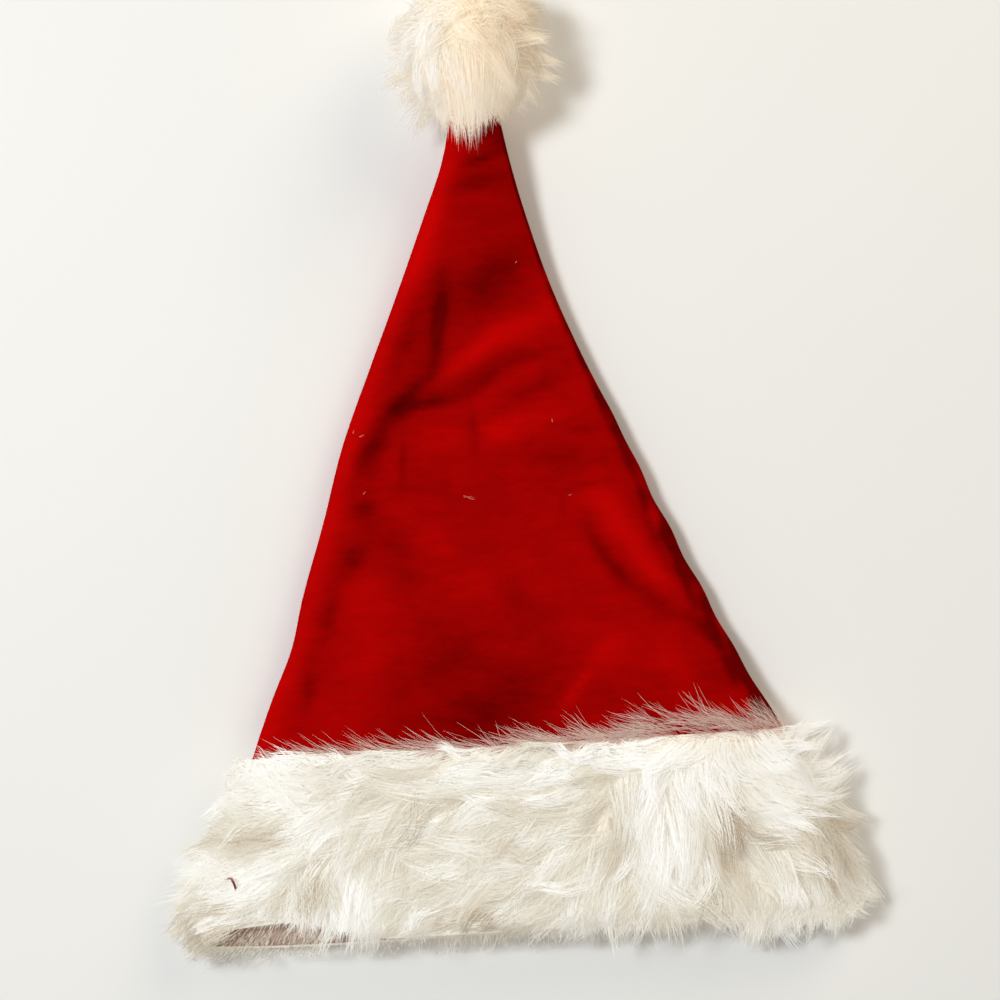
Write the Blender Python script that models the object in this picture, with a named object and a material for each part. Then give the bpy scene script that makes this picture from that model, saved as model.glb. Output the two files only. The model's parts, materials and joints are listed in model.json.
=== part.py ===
"""A plush santa hat: red velvet crown, shaggy fur cuff and fur pompom.

The hat lies flat on a level surface, its cuff towards -Y and its pompom towards +Y.
Units are metres, +Z is up, and the origin is on that surface under the middle of the hat.
Tables and functions use the hat's own frame, whose origin is the middle of the line where
the crown leaves the cuff. One empty carries that frame to its place.
"""

import math
import random
from collections import namedtuple

import bmesh
import bpy
from mathutils import Vector

# Driving dimensions
CLOTH = 0.0018
BACKING = 0.0027
GAP = 0.0003
CUFF_DEPTH = 0.086
CUFF_EDGE = -0.002
CROWN_TIP = 0.3023
TIP_ROUND = 0.0015
MOUTH_STEP = 0.006
POMPOM_CENTRE = Vector((-0.0056, 0.3331, 0.0345))
POMPOM_HEAD = 0.0290
POMPOM_REACH = 0.0385
FRAME_MIDDLE = Vector((-0.0030, 0.1309, 0.0))
CUFF_SEED = 11
POMPOM_SEED = 12

# Finishes
VELVET_RED = (0.330, 0.004, 0.006)
CUFF_CREAM = (0.800, 0.740, 0.640)
POMPOM_CREAM = (0.860, 0.760, 0.580)
VELVET_ROUGHNESS = 0.85
FUR_ROUGHNESS = 0.95
SHARP_ANGLE = math.radians(50.0)

# The crown's section along its length: where its sides, underside and top lie.
Section = namedtuple("Section", "y left right under top")
CROWN_SECTIONS = (
    Section(-0.088, -0.1580, 0.1530, 0.0130, 0.0310),
    Section(-0.044, -0.1440, 0.1400, 0.0130, 0.0312),
    Section(0.000, -0.1290, 0.1240, 0.0120, 0.0305),
    Section(0.026, -0.1187, 0.1103, 0.0070, 0.0290),
    Section(0.050, -0.1080, 0.0988, 0.0015, 0.0275),
    Section(0.074, -0.1013, 0.0877, 0.0000, 0.0265),
    Section(0.110, -0.0890, 0.0715, 0.0000, 0.0258),
    Section(0.146, -0.0776, 0.0566, 0.0000, 0.0250),
    Section(0.182, -0.0625, 0.0406, 0.0000, 0.0240),
    Section(0.218, -0.0468, 0.0269, 0.0015, 0.0240),
    Section(0.254, -0.0315, 0.0165, 0.0070, 0.0270),
    Section(0.278, -0.0216, 0.0109, 0.0140, 0.0310),
    Section(0.3023, -0.0155, 0.0065, 0.0205, 0.0345),
)
SEAM_LEVEL = 0.36
TOP_ROUNDING = 0.62
UNDER_ROUNDING = 2.2
TOP_STEPS = 28
UNDER_STEPS = 10
CUFF_RINGS = 4
RING_PITCH = 0.011

# Dents (positive depth) and swells (negative depth) pressed into the crown's upper face.
Fold = namedtuple("Fold", "name line depth width")
CROWN_FOLDS = (
    Fold("left crease", ((-0.026, 0.220), (-0.031, 0.186), (-0.049, 0.160), (-0.066, 0.135)), 0.0032, 0.009),
    Fold("left shoulder", ((-0.066, 0.135), (-0.077, 0.095), (-0.089, 0.066), (-0.102, 0.035)), 0.0018, 0.010),
    Fold("cross crease", ((-0.049, 0.160), (-0.020, 0.166), (0.012, 0.182)), 0.0028, 0.008),
    Fold("short crease", ((0.004, 0.163), (0.034, 0.175)), 0.0018, 0.008),
    Fold("cross swell", ((-0.019, 0.182), (0.020, 0.191)), -0.0020, 0.010),
    Fold("upper dent", ((-0.020, 0.212), (0.018, 0.232)), 0.0020, 0.011),
    Fold("tip dent", ((-0.012, 0.263), (0.013, 0.264)), 0.0012, 0.007),
    Fold("middle dent", ((0.002, 0.134), (0.050, 0.131)), 0.0013, 0.009),
    Fold("middle swell", ((-0.042, 0.111), (-0.026, 0.098)), -0.0016, 0.012),
    Fold("right crease", ((0.043, 0.098), (0.068, 0.066), (0.090, 0.040)), 0.0028, 0.010),
    Fold("right swell", ((0.050, 0.117), (0.065, 0.092), (0.076, 0.075)), -0.0020, 0.009),
    Fold("low hollow", ((-0.045, 0.027), (-0.005, 0.020), (0.034, 0.017)), 0.0045, 0.026),
    Fold("low swell", ((0.009, 0.007), (0.037, 0.024)), -0.0020, 0.009),
    Fold("side seam", ((0.027, 0.224), (0.047, 0.163), (0.064, 0.106), (0.083, 0.071), (0.101, 0.038)),
         0.0016, 0.006),
)
FOLD_MARGIN = 0.12
PUCKER = 0.0012
PUCKER_PITCH = 0.030
PUCKER_END = 0.170

# The way the cuff's fur lies on its upper face: degrees anticlockwise from +X, seen from above.
Flow = namedtuple("Flow", "x y angle")
CUFF_FLOW = (
    Flow(-0.157, -0.038, 192),
    Flow(-0.140, -0.077, 225),
    Flow(-0.108, -0.023, 198),
    Flow(-0.109, -0.056, 205),
    Flow(-0.097, -0.078, 258),
    Flow(-0.036, -0.027, 200),
    Flow(-0.038, -0.056, 208),
    Flow(-0.040, -0.084, 232),
    Flow(0.017, -0.025, 212),
    Flow(0.013, -0.078, 243),
    Flow(0.045, -0.031, 245),
    Flow(0.040, -0.075, 262),
    Flow(0.074, -0.033, 268),
    Flow(0.076, -0.081, 290),
    Flow(0.100, -0.030, 262),
    Flow(0.097, -0.083, 276),
    Flow(0.124, -0.052, 325),
    Flow(0.124, -0.081, 300),
    Flow(0.145, -0.022, 352),
    Flow(0.155, -0.062, 305),
    Flow(-0.120, 0.002, 165),
    Flow(-0.060, 0.002, 158),
    Flow(0.000, 0.002, 155),
    Flow(0.060, 0.002, 140),
    Flow(0.110, 0.002, 112),
)
FLOW_SHARPNESS = 3.0
FLOW_SOFTNESS = 0.004
UNDER_SPREAD = 0.8
SIDE_FLOW = Vector((0.0, -1.0, -0.12))

# Rows of locks on the cuff: how far along it, how many, and how they stand.
LockRow = namedtuple("LockRow", "y count length width height")
UPPER_LOCKS = (
    LockRow(-0.010, 15, 0.026, 0.026, 0.0150),
    LockRow(-0.030, 13, 0.048, 0.032, 0.0205),
    LockRow(-0.054, 14, 0.046, 0.032, 0.0205),
    LockRow(-0.076, 16, 0.034, 0.028, 0.0165),
)
UNDER_LOCKS = (
    LockRow(-0.018, 7, 0.040, 0.036, 0.0082),
    LockRow(-0.046, 8, 0.040, 0.036, 0.0092),
    LockRow(-0.074, 9, 0.036, 0.036, 0.0092),
)
SIDE_LOCKS = (
    LockRow(-0.010, 2, 0.030, 0.026, 0.0105),
    LockRow(-0.033, 2, 0.040, 0.028, 0.0135),
    LockRow(-0.056, 2, 0.038, 0.028, 0.0135),
    LockRow(-0.077, 2, 0.032, 0.026, 0.0110),
)
LOCK_SINK = 0.0012
LOCK_OVERLAP = 0.2
ROW_SHIFT = 0.004
PLACE_SHIFT = 0.18

# How much the locks of a face differ: shares of the row's length, height and width, and the tip's share of height.
LockSpread = namedtuple("LockSpread", "length height width tip")
UPPER_SPREAD = LockSpread((0.85, 1.2), (0.85, 1.12), (0.9, 1.15), (0.35, 0.55))
UNDER_LOCK_SPREAD = LockSpread((0.85, 1.2), (0.9, 1.0), (0.9, 1.15), (0.45, 0.45))
SIDE_SPREAD = LockSpread((0.9, 1.15), (0.9, 1.1), (1.0, 1.0), (0.5, 0.5))

# A lock's three-sided rings: share of its length, half width as a share of its width, share of its height.
LockRing = namedtuple("LockRing", "along half high")
LOCK_RINGS = (
    LockRing(0.00, 0.30, 0.55),
    LockRing(0.36, 0.50, 1.00),
    LockRing(0.72, 0.36, 0.82),
)

# Steps along and round the crown's surface that give the outward direction there.
LENGTH_NUDGE = 0.001
ANGLE_NUDGE = 0.01

POMPOM_LOCKS = 50
POMPOM_LOCK_WIDTH = 0.0165
CROWN_SIDE = Vector((-0.05, -0.99, -0.12)).normalized()
POMPOM_TIP_CONE = 42.0
TUFT_SIDES = 5
TUFT_ROOT_RADIUS = 0.42
TUFT_MIDDLE_RADIUS = 0.40
TUFT_START = 0.6
TUFT_BEND = 0.45
TUFT_FLOOR = 0.35
UNDERSIDE = -0.5
LEAN_SIDEWAYS = (-0.3, 0.3)
LEAN_LENGTHWAYS = (-0.35, 0.15)
LEAN_UPWARDS = (-0.3, 0.1)
REACH_SPREAD = (0.93, 1.06)
WIDTH_SPREAD = (0.85, 1.2)

# Tufts of the pompom that stand out of its round form: from the centre, and where each one ends.
Tuft = namedtuple("Tuft", "name start tip width arch")
POMPOM_TUFTS = (
    Tuft("over the tip", (-0.002, -0.008, 0.018), (-0.0076, 0.2850, 0.0400), 0.0170, 0.0045),
    Tuft("over the tip, left", (-0.010, -0.010, 0.014), (-0.0200, 0.2930, 0.0405), 0.0130, 0.0040),
    Tuft("low left", (-0.014, -0.010, 0.002), (-0.0290, 0.2940, 0.0300), 0.0120, 0.0),
    Tuft("left", (-0.012, -0.004, 0.000), (-0.0455, 0.3177, 0.0300), 0.0150, 0.0),
    Tuft("left, upper", (-0.012, 0.000, 0.004), (-0.0450, 0.3290, 0.0380), 0.0130, 0.0),
    Tuft("right", (0.012, -0.004, 0.000), (0.0390, 0.3174, 0.0300), 0.0140, 0.0),
    Tuft("right, upper", (0.012, 0.002, 0.004), (0.0365, 0.3320, 0.0370), 0.0130, 0.0),
)


def clear_scene():
    """Remove the objects that the scene starts with."""
    for item in list(bpy.data.objects):
        bpy.data.objects.remove(item, do_unlink=True)


def make_collection(name):
    """Add a collection to the scene."""
    collection = bpy.data.collections.new(name)
    bpy.context.scene.collection.children.link(collection)
    return collection


def make_material(name, colour, roughness):
    """Make a plain non-metallic finish."""
    material = bpy.data.materials.new(name)
    material.use_nodes = True
    shader = material.node_tree.nodes["Principled BSDF"]
    shader.inputs["Base Color"].default_value = (*colour, 1.0)
    shader.inputs["Roughness"].default_value = roughness
    shader.inputs["Metallic"].default_value = 0.0
    material.diffuse_color = (*colour, 1.0)
    return material


def make_object(name, bm, collection, material, parent):
    """Turn a finished bmesh into a named object that hangs from the hat's frame."""
    mesh = bpy.data.meshes.new(name)
    bm.to_mesh(mesh)
    bm.free()
    mesh.materials.append(material)
    mesh.shade_smooth()
    mesh.set_sharp_from_angle(angle=SHARP_ANGLE)
    item = bpy.data.objects.new(name, mesh)
    collection.objects.link(item)
    item.parent = parent
    return item


def smooth_value(rows, y, column):
    """Read a column at y from a smooth curve through the rows."""
    last = len(rows) - 2
    index = next((i for i in range(last) if y <= rows[i + 1].y), last)
    near, far = rows[index], rows[index + 1]
    before, after = rows[max(index - 1, 0)], rows[min(index + 2, last + 1)]
    span = far.y - near.y
    value = [getattr(row, column) for row in (before, near, far, after)]
    slope_near = (value[2] - value[0]) / (far.y - before.y) * span
    slope_far = (value[3] - value[1]) / (after.y - near.y) * span
    t = (y - near.y) / span
    square, cube = t * t, t * t * t
    return (
        (2 * cube - 3 * square + 1) * value[1]
        + (cube - 2 * square + t) * slope_near
        + (3 * square - 2 * cube) * value[2]
        + (cube - square) * slope_far
    )


def line_distance(x, y, line):
    """Distance in plan from a point to a line of straight stretches."""
    point = Vector((x, y))
    nearest = math.inf
    for start, end in zip(line, line[1:]):
        origin = Vector(start)
        along = Vector(end) - origin
        share = max(0.0, min(1.0, (point - origin).dot(along) / along.length_squared))
        nearest = min(nearest, (point - origin - along * share).length)
    return nearest


def fold_height(x, y):
    """Height that the dents and swells add to the crown's upper face."""
    return -sum(
        fold.depth * math.exp(-((line_distance(x, y, fold.line) / fold.width) ** 2)) for fold in CROWN_FOLDS
    )


def pucker(y):
    """Sideways ripple of the seam along the crown's right edge."""
    if not 0.0 < y < PUCKER_END:
        return 0.0
    fade = math.sin(math.pi * y / PUCKER_END)
    return PUCKER * fade * math.sin(2.0 * math.pi * y / PUCKER_PITCH)


def section_point(y, angle, outset=0.0):
    """Point on the crown's section at y, moved outwards by outset. Angle 0 is the right edge, 90 the top."""
    left = smooth_value(CROWN_SECTIONS, y, "left")
    right = smooth_value(CROWN_SECTIONS, y, "right") + pucker(y)
    under = max(0.0, smooth_value(CROWN_SECTIONS, y, "under"))
    top = smooth_value(CROWN_SECTIONS, y, "top")
    seam = under + SEAM_LEVEL * (top - under)
    across, rise = math.cos(angle), math.sin(angle)
    x = (left + right) / 2 + ((right - left) / 2 + outset) * across
    if rise >= 0.0:
        z = seam + (top + outset - seam) * rise ** TOP_ROUNDING
        z += fold_height(x, y) * min(1.0, (1.0 - abs(across)) / FOLD_MARGIN)
    else:
        z = seam - (seam - under + outset) * min(1.0, -rise * UNDER_ROUNDING)
    step = MOUTH_STEP * max(0.0, -rise) * (1.0 - across) / 2 * min(0.0, y) / CROWN_SECTIONS[0].y
    return Vector((x, y - step, z))


def section_angles():
    """Angles round a section, closer together on the upper face than underneath."""
    upper = [math.pi * i / TOP_STEPS for i in range(TOP_STEPS)]
    under = [math.pi + math.pi * i / UNDER_STEPS for i in range(UNDER_STEPS)]
    return upper + under


def add_ring(bm, points):
    """Add the points as vertices."""
    return [bm.verts.new(point) for point in points]


def join_rings(bm, first, second):
    """Join two rings of the same count with a strip of faces."""
    count = len(first)
    for i in range(count):
        j = (i + 1) % count
        bm.faces.new((first[i], first[j], second[j], second[i]))


def add_section_ring(bm, y, outset):
    """Add one ring of the crown's section."""
    return add_ring(bm, [section_point(y, angle, outset) for angle in section_angles()])


def crown_stations():
    """Places of the crown's rings, from the mouth to the tip."""
    mouth = CROWN_SECTIONS[0].y
    inside_cuff = [mouth * (1.0 - i / CUFF_RINGS) for i in range(CUFF_RINGS)]
    steps = round(CROWN_TIP / RING_PITCH)
    return inside_cuff + [CROWN_TIP * i / steps for i in range(steps + 1)]


def build_crown(collection, parent):
    """The velvet cone: an outer and an inner skin joined round the mouth, each closed at the tip."""
    bm = bmesh.new()
    stations = crown_stations()
    outer = [add_section_ring(bm, y, 0.0) for y in stations]
    outer.append(add_ring(bm, [
        section_point(CROWN_TIP, angle, -TIP_ROUND) + Vector((0.0, TIP_ROUND, 0.0)) for angle in section_angles()
    ]))
    inner_stations = stations[:-1] + [CROWN_TIP - CLOTH]
    inner = [add_section_ring(bm, y, -CLOTH) for y in inner_stations]
    for skin in (outer, inner):
        for first, second in zip(skin, skin[1:]):
            join_rings(bm, first, second)
        bm.faces.new(skin[-1])
    join_rings(bm, outer[0], inner[0])
    bmesh.ops.recalc_face_normals(bm, faces=bm.faces)
    velvet = make_material("red_velvet", VELVET_RED, VELVET_ROUGHNESS)
    return make_object("crown", bm, collection, velvet, parent)


def band_stations():
    """Places of the cuff backing's rings."""
    lower = -CUFF_DEPTH
    inner = [CROWN_SECTIONS[0].y * (1.0 - i / CUFF_RINGS) for i in range(1, CUFF_RINGS)]
    return [lower] + inner + [CUFF_EDGE]


def add_backing(bm):
    """The cuff's cloth backing: a ring that fits round the crown's lower end."""
    stations = band_stations()
    outer = [add_section_ring(bm, y, GAP + BACKING) for y in stations]
    inner = [add_section_ring(bm, y, GAP) for y in stations]
    for skin in (outer, inner):
        for first, second in zip(skin, skin[1:]):
            join_rings(bm, first, second)
    join_rings(bm, outer[0], inner[0])
    join_rings(bm, outer[-1], inner[-1])
    bmesh.ops.recalc_face_normals(bm, faces=bm.faces)


def add_lock(bm, root, normal, flow, length, width, height, tip_height):
    """One pointed lock: a ridged tuft of three-sided rings along its run, and its tip."""
    side = normal.cross(flow).normalized()
    rings = []
    for ring in LOCK_RINGS:
        centre = root + flow * (length * ring.along)
        outline = ((0.0, ring.high * height), (-ring.half, -LOCK_SINK), (ring.half, -LOCK_SINK))
        rings.append(add_ring(bm, [centre + side * (width * x) + normal * z for x, z in outline]))
    tip = bm.verts.new(root + flow * length + normal * tip_height)
    bm.faces.new(rings[0])
    for first, second in zip(rings, rings[1:]):
        join_rings(bm, first, second)
    last = rings[-1]
    for i, vertex in enumerate(last):
        bm.faces.new((vertex, last[(i + 1) % len(last)], tip))


def backing_frame(y, angle):
    """Point on the backing's outer face and the outward direction there."""
    outset = GAP + BACKING
    point = section_point(y, angle, outset)
    round_way = section_point(y, angle + ANGLE_NUDGE, outset) - section_point(y, angle - ANGLE_NUDGE, outset)
    along = section_point(y + LENGTH_NUDGE, angle, outset) - section_point(y - LENGTH_NUDGE, angle, outset)
    return point, along.cross(round_way).normalized()


def upper_flow(x, y):
    """Direction of the fur on the cuff's upper face, from the nearest entries of the table."""
    total = Vector((0.0, 0.0, 0.0))
    for entry in CUFF_FLOW:
        gap = math.hypot(x - entry.x, y - entry.y) + FLOW_SOFTNESS
        angle = math.radians(entry.angle)
        total += Vector((math.cos(angle), math.sin(angle), 0.0)) / gap ** FLOW_SHARPNESS
    return total.normalized()


def under_flow(across):
    """Direction of the fur under the cuff: towards the mouth, and out to the nearer side."""
    return Vector((UNDER_SPREAD * across, -1.0, 0.0)).normalized()


def pick(chance, limits):
    """A chance value between two limits, or the value that both limits have."""
    low, high = limits
    return low if low == high else chance.uniform(low, high)


def add_cuff_row(bm, row, chance, upper):
    """One row of locks across the upper or the under face of the cuff."""
    spread = UPPER_SPREAD if upper else UNDER_LOCK_SPREAD
    shift = 0.0 if row is UPPER_LOCKS[0] else ROW_SHIFT
    for i in range(row.count):
        share = (i + 0.5 + chance.uniform(-PLACE_SHIFT, PLACE_SHIFT)) / row.count
        middle = math.acos(1.0 - 2.0 * share)
        angle = middle if upper else 2.0 * math.pi - middle
        y = row.y + shift * chance.uniform(-1.0, 1.0)
        root, normal = backing_frame(y, angle)
        flow = upper_flow(root.x, root.y) if upper else under_flow(math.cos(angle))
        flow = (flow - normal * flow.dot(normal)).normalized()
        length = row.length * pick(chance, spread.length)
        height = row.height * pick(chance, spread.height)
        width = row.width * pick(chance, spread.width)
        tip_height = height * pick(chance, spread.tip)
        add_lock(bm, root - flow * (LOCK_OVERLAP * length), normal, flow, length, width, height, tip_height)


def add_side_locks(bm, row, chance):
    """One lock on each side edge of the cuff, lying towards the mouth."""
    for angle in (0.0, math.pi):
        root, normal = backing_frame(row.y, angle)
        flow = (SIDE_FLOW - normal * SIDE_FLOW.dot(normal)).normalized()
        length = row.length * pick(chance, SIDE_SPREAD.length)
        height = row.height * pick(chance, SIDE_SPREAD.height)
        width = row.width * pick(chance, SIDE_SPREAD.width)
        tip_height = height * pick(chance, SIDE_SPREAD.tip)
        add_lock(bm, root - flow * (LOCK_OVERLAP * length), normal, flow, length, width, height, tip_height)


def keep_outer_shell(bm):
    """Delete the closed pockets that overlapping locks leave inside, so that one body is left."""
    left = set(bm.faces)
    shells = []
    while left:
        start = left.pop()
        shell, queue = [start], [start]
        while queue:
            for edge in queue.pop().edges:
                for face in edge.link_faces:
                    if face in left:
                        left.remove(face)
                        shell.append(face)
                        queue.append(face)
        shells.append(shell)
    shells.sort(key=len)
    for shell in shells[:-1]:
        bmesh.ops.delete(bm, geom=shell, context="FACES")


def fuse(base_bm, locks_bm, workshop):
    """Join a base and its overlapping locks into one closed body."""
    pair = []
    for name, bm in (("base", base_bm), ("locks", locks_bm)):
        bmesh.ops.recalc_face_normals(bm, faces=bm.faces)
        mesh = bpy.data.meshes.new(name)
        bm.to_mesh(mesh)
        bm.free()
        item = bpy.data.objects.new(name, mesh)
        workshop.objects.link(item)
        pair.append(item)
    union = pair[0].modifiers.new("Fuse", "BOOLEAN")
    union.operation = "UNION"
    union.solver = "EXACT"
    union.use_self = True
    union.object = pair[1]
    graph = bpy.context.evaluated_depsgraph_get()
    fused = bpy.data.meshes.new_from_object(pair[0].evaluated_get(graph))
    bm = bmesh.new()
    bm.from_mesh(fused)
    for item in pair:
        bpy.data.objects.remove(item, do_unlink=True)
    keep_outer_shell(bm)
    return bm


def build_cuff(collection, workshop, parent):
    """The fur cuff: its backing ring with rows of locks fused to it."""
    chance = random.Random(CUFF_SEED)
    backing, locks = bmesh.new(), bmesh.new()
    add_backing(backing)
    for row in UPPER_LOCKS:
        add_cuff_row(locks, row, chance, True)
    for row in UNDER_LOCKS:
        add_cuff_row(locks, row, chance, False)
    for row in SIDE_LOCKS:
        add_side_locks(locks, row, chance)
    fur = make_material("cream_fur", CUFF_CREAM, FUR_ROUGHNESS)
    return make_object("fur_cuff", fuse(backing, locks, workshop), collection, fur, parent)


def pompom_directions():
    """Evenly spread directions round the pompom, from its foot to its crown."""
    golden = math.pi * (3.0 - math.sqrt(5.0))
    for i in range(POMPOM_LOCKS):
        z = 1.0 - 2.0 * (i + 0.5) / POMPOM_LOCKS
        ring = math.sqrt(1.0 - z * z)
        yield Vector((ring * math.cos(golden * i), ring * math.sin(golden * i), z))


def add_tuft(bm, start, middle, tip, width):
    """One round pointed tuft: a five-sided ring at its start and its middle, and its tip."""
    rings = []
    for centre, radius in ((start, TUFT_ROOT_RADIUS * width), (middle, TUFT_MIDDLE_RADIUS * width)):
        heading = (tip - start).normalized()
        side = heading.orthogonal().normalized()
        other = heading.cross(side)
        points = []
        for i in range(TUFT_SIDES):
            turn = 2.0 * math.pi * i / TUFT_SIDES
            points.append(centre + side * (radius * math.cos(turn)) + other * (radius * math.sin(turn)))
            points[-1].z = max(points[-1].z, 0.0)
        rings.append(add_ring(bm, points))
    peak = bm.verts.new(tip)
    bm.faces.new(rings[0])
    join_rings(bm, rings[0], rings[1])
    for i, vertex in enumerate(rings[1]):
        bm.faces.new((vertex, rings[1][(i + 1) % TUFT_SIDES], peak))


def add_radial_tuft(bm, direction, lean, reach, width):
    """One tuft that stands out from the pompom's head and leans over."""
    start = POMPOM_CENTRE + direction * (TUFT_START * POMPOM_HEAD)
    tip = POMPOM_CENTRE + (direction + lean).normalized() * reach
    middle = POMPOM_CENTRE + (direction + TUFT_BEND * lean).normalized() * (0.5 * (POMPOM_HEAD + reach))
    tip.z = max(tip.z, 0.0)
    middle.z = max(middle.z, TUFT_FLOOR * width)
    add_tuft(bm, start, middle, tip, width)


def build_pompom(collection, workshop, parent):
    """The fur ball: a head with locks fused to it, and tufts that hang over the crown's tip."""
    chance = random.Random(POMPOM_SEED)
    head, locks = bmesh.new(), bmesh.new()
    bmesh.ops.create_icosphere(head, subdivisions=2, radius=POMPOM_HEAD)
    bmesh.ops.translate(head, verts=head.verts, vec=POMPOM_CENTRE)
    tip_side = math.cos(math.radians(POMPOM_TIP_CONE))
    for direction in pompom_directions():
        lean = Vector([chance.uniform(*limits) for limits in (LEAN_SIDEWAYS, LEAN_LENGTHWAYS, LEAN_UPWARDS)])
        reach = POMPOM_REACH * chance.uniform(*REACH_SPREAD)
        if direction.dot(CROWN_SIDE) > tip_side:
            continue
        if direction.z < UNDERSIDE:
            reach = min(reach, POMPOM_CENTRE.z / -direction.z)
        add_radial_tuft(locks, direction, lean, reach, POMPOM_LOCK_WIDTH * chance.uniform(*WIDTH_SPREAD))
    for tuft in POMPOM_TUFTS:
        start, tip = POMPOM_CENTRE + Vector(tuft.start), Vector(tuft.tip)
        middle = start.lerp(tip, 0.5) + Vector((0.0, 0.0, tuft.arch))
        add_tuft(locks, start, middle, tip, tuft.width)
    fur = make_material("cream_pompom_fur", POMPOM_CREAM, FUR_ROUGHNESS)
    return make_object("pompom", fuse(head, locks, workshop), collection, fur, parent)


def main():
    """Build the hat."""
    clear_scene()
    hat = make_collection("santa_hat")
    workshop = make_collection("cutters")
    frame = bpy.data.objects.new("hat_frame", None)
    frame.location = -FRAME_MIDDLE
    hat.objects.link(frame)
    build_crown(hat, frame)
    build_cuff(hat, workshop, frame)
    build_pompom(hat, workshop, frame)
    bpy.context.view_layer.update()


main()
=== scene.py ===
"""The finished looks of a plush santa hat: crushed velvet crown, long-haired fur cuff and fur pompom.

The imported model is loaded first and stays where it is. Tables and functions use the hat's own frame.
Its origin is the middle of the line where the crown leaves the cuff, +Y runs to the pompom and +Z runs up.
HAT_ORIGIN carries them to the model's frame. Units are metres.
"""

import json
import math
from collections import namedtuple

import bpy
import numpy as np
from bpy.props import FloatProperty
from bpy.props import FloatVectorProperty
from bpy.props import IntProperty
from bpy.props import PointerProperty
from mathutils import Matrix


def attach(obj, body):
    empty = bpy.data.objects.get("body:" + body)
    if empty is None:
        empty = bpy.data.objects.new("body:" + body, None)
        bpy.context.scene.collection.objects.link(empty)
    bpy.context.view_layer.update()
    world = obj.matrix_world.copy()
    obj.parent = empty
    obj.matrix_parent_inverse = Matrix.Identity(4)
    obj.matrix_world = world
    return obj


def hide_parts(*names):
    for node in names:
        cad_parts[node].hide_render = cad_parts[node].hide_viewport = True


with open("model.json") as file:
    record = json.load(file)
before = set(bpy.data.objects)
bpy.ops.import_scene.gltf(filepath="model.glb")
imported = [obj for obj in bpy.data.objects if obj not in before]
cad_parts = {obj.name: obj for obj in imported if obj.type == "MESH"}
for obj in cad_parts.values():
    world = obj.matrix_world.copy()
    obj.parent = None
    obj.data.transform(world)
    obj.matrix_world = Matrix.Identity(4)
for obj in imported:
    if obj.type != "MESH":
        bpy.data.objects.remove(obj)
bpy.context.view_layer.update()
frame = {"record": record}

bl_info = {
    "name": "Santa Hat",
    "version": (1, 0, 0),
    "blender": (4, 5, 0),
    "location": "3D View > Sidebar > Santa Hat",
    "description": "Builds a plush santa hat with a velvet crown, a fur cuff and a fur pompom",
    "category": "Add Mesh",
}

RECORD = {entry["slot"]: entry["base_color"] for entry in frame["record"]["materials"]}
HAT_ORIGIN = np.array((0.0030, -0.1309, 0.0))

# The crown's section along its length: where its sides, underside and top lie.
Section = namedtuple("Section", "y left right under top")
CROWN_SECTIONS = (
    Section(-0.088, -0.1580, 0.1530, 0.0130, 0.0310),
    Section(-0.044, -0.1440, 0.1400, 0.0130, 0.0312),
    Section(0.000, -0.1290, 0.1240, 0.0120, 0.0305),
    Section(0.026, -0.1187, 0.1103, 0.0070, 0.0290),
    Section(0.050, -0.1080, 0.0988, 0.0015, 0.0275),
    Section(0.074, -0.1013, 0.0877, 0.0000, 0.0265),
    Section(0.110, -0.0890, 0.0715, 0.0000, 0.0258),
    Section(0.146, -0.0776, 0.0566, 0.0000, 0.0250),
    Section(0.182, -0.0625, 0.0406, 0.0000, 0.0240),
    Section(0.218, -0.0468, 0.0269, 0.0015, 0.0240),
    Section(0.254, -0.0315, 0.0165, 0.0070, 0.0270),
    Section(0.278, -0.0216, 0.0109, 0.0140, 0.0310),
    Section(0.3023, -0.0155, 0.0065, 0.0205, 0.0345),
)
# The sides lie at this share of the height, and the rounding shapes the section above and below them.
SEAM_LEVEL = 0.36
TOP_ROUNDING = 0.62
UNDER_ROUNDING = 2.2
# At the mouth's left the under wall reaches further out, and the upper wall is pulled back.
MOUTH_STEP = 0.006
MOUTH_BACK = 0.012
CROWN_TIP = 0.3023
# The cuff's depth along the hat, its upper edge, its matted ring's depth, and how far out its roots are.
CUFF_DEPTH = 0.086
CUFF_EDGE = -0.001
UNDERCOAT_DEPTH = 0.0892
BACKING = 0.0030

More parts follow.
